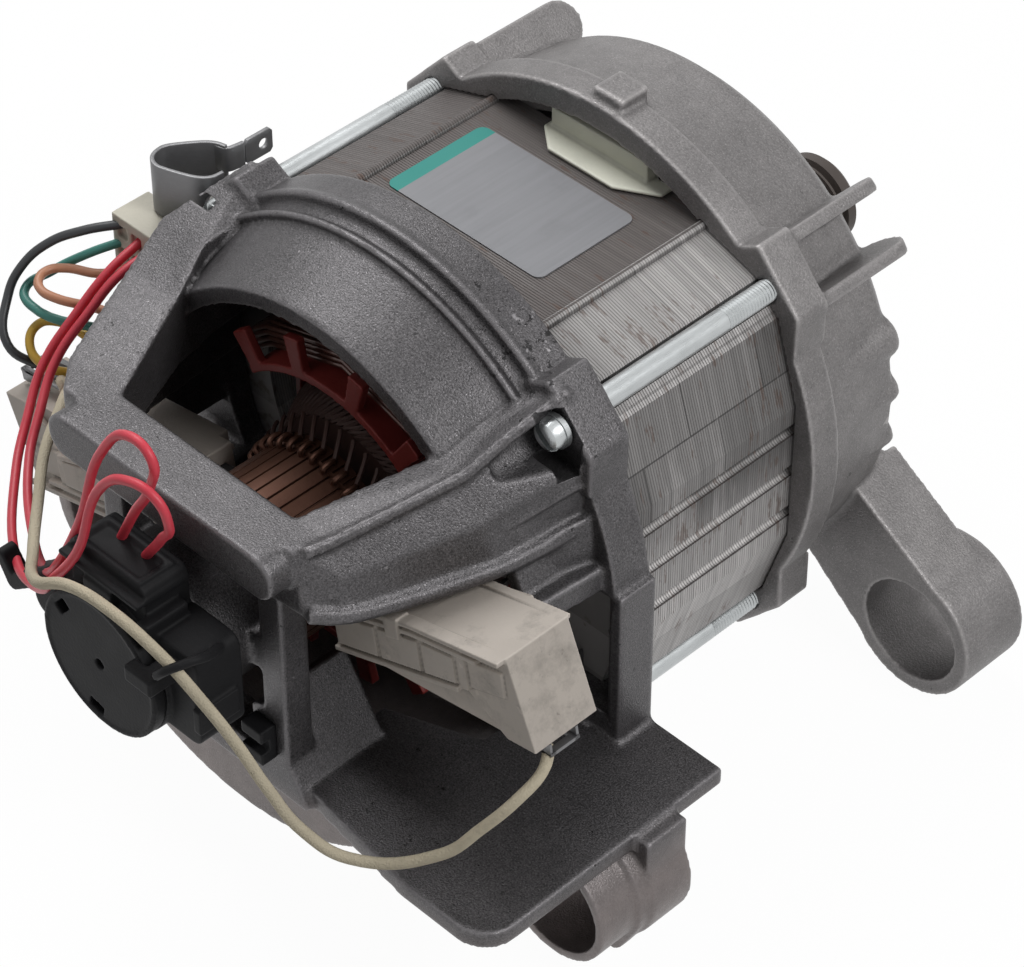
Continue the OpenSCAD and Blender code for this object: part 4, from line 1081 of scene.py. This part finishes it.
class MOTOR_OT_brush_gear(MotorMaking, bpy.types.Operator):
    """Moulds the brush holders and makes their springs and terminals."""

    bl_idname = "motor.brush_gear"
    bl_label = "Brush gear"

    def make(self, sizes):
        for side, turn in (("right", 0), ("left", 180)):
            line = Matrix.Rotation(radians(turn - BRUSH_TILT), 4, "Y")
            self.holder(side, line, sizes)
            self.terminal(side, line)
            self.spring(side, line)
            dress(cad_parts["brush_" + side], "carbon")

    def holder(self, side, line, sizes):
        node = "brush_holder_" + side
        y = BRUSH / MM
        extra = bmesh.new()
        low, top = self.low_edge, self.top_edge
        for face, base in ((-1, 1.2), (1, 0)):
            strips = [
                (ends, (low, 1.4), (top, -3.8), base + 0.6) for ends in ((25, 36.8), (38, 49.4), (50.6, 59.4))
            ]
            strips += [
                ((24, 60), (low, -0.3), (low, 0.8), base + 0.9),
                ((24, 47.5, 72.6), (top, -1.1), (top, 0), base + 0.9),
                ((24, 47.5, 66), (top, -3.1), (top, -2.1), base + 0.6),
                ((41, 45), (top, -4.6), (top, 0.4), base + 1.2),
                ((61, 71.5), (low, 0.5), (top, -3.8), 0.6),
            ]
            if base:
                strips.insert(0, ((24, 47.5, 62), (low, 0), (top, -0.8), base))
            for stations, bottom, upper, proud in strips:
                self.panel(extra, stations, y + face * 8.15, face, bottom, upper, proud)
        bmesh.ops.transform(extra, matrix=line, verts=extra.verts)
        body = copied(node)
        joined(body, extra)
        grain = sizes.mould_grain * 0.65
        made = melted(body, node + "_moulding", "cream_plastic", node, grain, most=130000, rounds=3)
        undercut = bmesh.new()
        outline = [(22, -13), (22, -9.6), (60, -2.6), (70.5, -10.6), (70.5, -13)]
        lofted(undercut, [[(x, level, z) for x, z in outline] for level in (y - 12, y - 7.0)])
        bmesh.ops.transform(undercut, matrix=line, verts=undercut.verts)
        carved(made, undercut)

    def top_edge(self, x):
        return 3 + (x - 23.5) * 5 / 24 if x < 47.5 else 8 + (x - 47.5) * 2.1 / 25.4

    def low_edge(self, x):
        return -9.2 + (x - 22) * 7 / 38

    def panel(self, bm, stations, wall, face, low, high, proud):
        """A raised strip on a side of the holder, between two sloping edges."""
        near, far = wall - face * 1.0, wall + face * proud
        sections = []
        for x in stations:
            z0, z1 = low[0](x) + low[1], high[0](x) + high[1]
            sections.append([(x, near, z0), (x, far, z0), (x, far, z1), (x, near, z1)])
        lofted(bm, sections)

    def terminal(self, side, line):
        """A folded sheet under the holder, with an open frame and two ears."""
        node = "brush_terminal_" + side
        y = BRUSH / MM
        bm = bmesh.new()
        half, under, sheet = 3.8, -14.3, -13.5
        for x0, x1, y0, y1, z0, z1 in (
            (61.9, 62.7, -half, half, -14.2, -8), (61.9, 76.6, -half, -2.4, under, sheet),
            (61.9, 76.6, 2.4, half, under, sheet), (67.0, 68.4, -half, half, under, sheet),
            (74.8, 76.6, -half, half, under, sheet), (68, 76.4, -half, -3.1, under, -11.4),
            (68, 76.4, 3.1, half, under, -11.4),
        ):
            block(bm, (x0, y + y0, z0), (x1, y + y1, z1), 0.15)
        bmesh.ops.transform(bm, matrix=line, verts=bm.verts)
        piece(bm, node + "_crimp", "plain_steel", node, sharp=40)

    def spring(self, side, line):
        """A wound spring behind a brush."""
        node = "brush_spring_" + side
        low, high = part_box(node)
        reach = [abs(low[0]), abs(high[0])]
        radius, wire_r = 1.45 * MM, 0.3 * MM
        margin, level = 0.4 * MM, -3 * MM
        lean = cos(radians(BRUSH_TILT))
        start, end = (min(reach) + margin) / lean, (max(reach) - margin) / lean
        turns, steps = 9, 16
        points = []
        for k in range(turns * steps + 1):
            angle = 2 * pi * k / steps
            x = start + (end - start) * k / (turns * steps)
            y = BRUSH + radius * cos(angle)
            points.append(tuple(line @ Vector((x, y, level + radius * sin(angle)))))
        made = wires(node + "_coil", [points], wire_r, "plain_steel", node, sides=1)
        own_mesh(made)


class MOTOR_OT_sensor(MotorMaking, bpy.types.Operator):
    """Moulds the speed sensor."""

    bl_idname = "motor.sensor"
    bl_label = "Speed sensor"

    def make(self, sizes):
        for node, relief, most in (("sensor_housing", self.rims, 110000), ("sensor_cap", self.ring, 90000)):
            bm = copied(node)
            relief(bm)
            melted(bm, node + "_moulding", "black_plastic", node, sizes.mould_grain, most)

    def rims(self, bm):
        """The rims of the socket on top, the bosses, and the hook that holds the cream lead."""
        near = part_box("sensor_housing")[1][1] / MM
        far = near - 13
        base, rim = 23.5, 24.8
        for low, high in (
            ((-11.4, far - 0.4, 20.6), (11.4, near, 21.8)),
            ((-9.5, far + 2, base), (9.5, far + 3.4, rim)),
            ((-9.5, near - 3.4, base), (9.5, near - 2, rim)),
            ((-9.5, far + 2, base), (-8.1, near - 2, rim)),
            ((8.1, far + 2, base), (9.5, near - 2, rim)),
            ((-4, far - 0.8, 12), (4, far + 2, 20)),
            ((24, far + 1, -3), (26, near - 2, 3)),
            ((11, far - 0.6, 13), (14, near - 3, 18)),
        ):
            block(bm, low, high)
        hook = [
            (23.5, -188, 13.5), (26.5, -193, 17), (26.8, -197, 18.6), (24.5, -201.4, 17.6),
            (21.6, -202, 14.4),
        ]
        rail(bm, hook, 1.0)

    def ring(self, bm):
        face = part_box("sensor_cap")[0][1] / MM
        rail(bm, arc(15.6, face + 0.2, range(0, 361, 6)), 0.5)


class MOTOR_OT_fittings(MotorMaking, bpy.types.Operator):
    """Makes the earth clip, the connector and the lead clip."""

    bl_idname = "motor.fittings"
    bl_label = "Fittings"

    def make(self, sizes):
        self.earth_clip()
        for node, name, slot, most in (
            ("connector_block", "connector_moulding", "pale_plastic", 90000),
            ("lead_clip", "lead_clip_moulding", "black_plastic", 40000),
        ):
            melted(copied(node), name, slot, node, sizes.mould_grain * 0.8, most)

    def earth_clip(self):
        """A bent strip of sheet with a tab."""
        low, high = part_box("earth_clip")
        bends = [
            (5.5, 6.5), (6, 9.5), (8.5, 11.8), (14, 14), (17, 14.6), (19.4, 13.4), (20.4, 11), (20, 8.5),
            (16.5, 3.5), (14, 1.2), (11.5, 0.4),
        ]
        bm = bmesh.new()
        self.strip(bm, bends, low[2], high[2])
        self.strip(bm, [(14, 1.2), (11.5, 0.4), (10.8, -2), (10.6, -3.5)], low[2] + 6 * MM, low[2] + 12 * MM)
        self.tab(bm, low[2] + 9 * MM)
        made = piece(bm, "earth_clip_sheet", "plain_steel", "earth_clip", sharp=40)
        modify(made, "SOLIDIFY", thickness=0.9 * MM, offset=0)
        modify(made, "BEVEL", width=0.25 * MM, segments=2, limit_method="ANGLE")

    def strip(self, bm, bends, low, high):
        line = smoothed([(-BOLT_X / MM - out, REAR_EDGE / MM - back) for out, back in bends])
        verts = [bm.verts.new((x * MM, y * MM, low)) for x, y in line]
        edges = [bm.edges.new(pair) for pair in zip(verts, verts[1:])]
        raised = bmesh.ops.extrude_edge_only(bm, edges=edges)
        top = [item for item in raised["geom"] if isinstance(item, bmesh.types.BMVert)]
        bmesh.ops.translate(bm, verts=top, vec=(0, 0, high - low))
        face_out(bm)

    def tab(self, bm, level):
        """The end of the clip's tab, with its round hole."""
        x = -BOLT_X - 10.6 * MM
        hole_r, half_l, half_h = 1.2, 3.75, 3
        steps = 24
        loops = []
        for hole, middle in ((False, -103.75), (True, -102.5)):
            verts = []
            for k in range(steps):
                c, d = cos(2 * pi * k / steps), sin(2 * pi * k / steps)
                reach = hole_r if hole else 1 / max(abs(c) / half_l, abs(d) / half_h)
                verts.append(bm.verts.new((x, (middle + c * reach) * MM, level + d * reach * MM)))
            loops += [bm.edges.new(pair) for pair in zip(verts, verts[1:] + verts[:1])]
        bmesh.ops.bridge_loops(bm, edges=loops)
        face_out(bm)


OPERATORS = (
    MOTOR_OT_stage, MOTOR_OT_leads, MOTOR_OT_castings, MOTOR_OT_stack, MOTOR_OT_field, MOTOR_OT_rotor,
    MOTOR_OT_brush_gear, MOTOR_OT_sensor, MOTOR_OT_fittings,
)


class MOTOR_PT_panel(bpy.types.Panel):
    """Lists the motor's operators, sizes and colours."""

    bl_label = "Motor"
    bl_idname = "MOTOR_PT_panel"
    bl_space_type = "VIEW_3D"
    bl_region_type = "UI"
    bl_category = "Motor"

    def draw(self, context):
        for made in OPERATORS:
            self.layout.operator(made.bl_idname)
        for group in (context.scene.motor_sizes, context.scene.motor_colours):
            for key in group.__annotations__:
                self.layout.prop(group, key)


CLASSES = (MotorSizes, MotorColours, *OPERATORS, MOTOR_PT_panel)


def register():
    for made in CLASSES:
        bpy.utils.register_class(made)
    bpy.types.Scene.motor_sizes = bpy.props.PointerProperty(type=MotorSizes)
    bpy.types.Scene.motor_colours = bpy.props.PointerProperty(type=MotorColours)


def unregister():
    del bpy.types.Scene.motor_colours
    del bpy.types.Scene.motor_sizes
    for made in reversed(CLASSES):
        bpy.utils.unregister_class(made)


def main():
    register()
    FINISHES.update(make_finishes(bpy.context.scene))
    for made in OPERATORS:
        group, name = made.bl_idname.split(".")
        getattr(getattr(bpy.ops, group), name)()


if __name__ == "__main__":
    main()
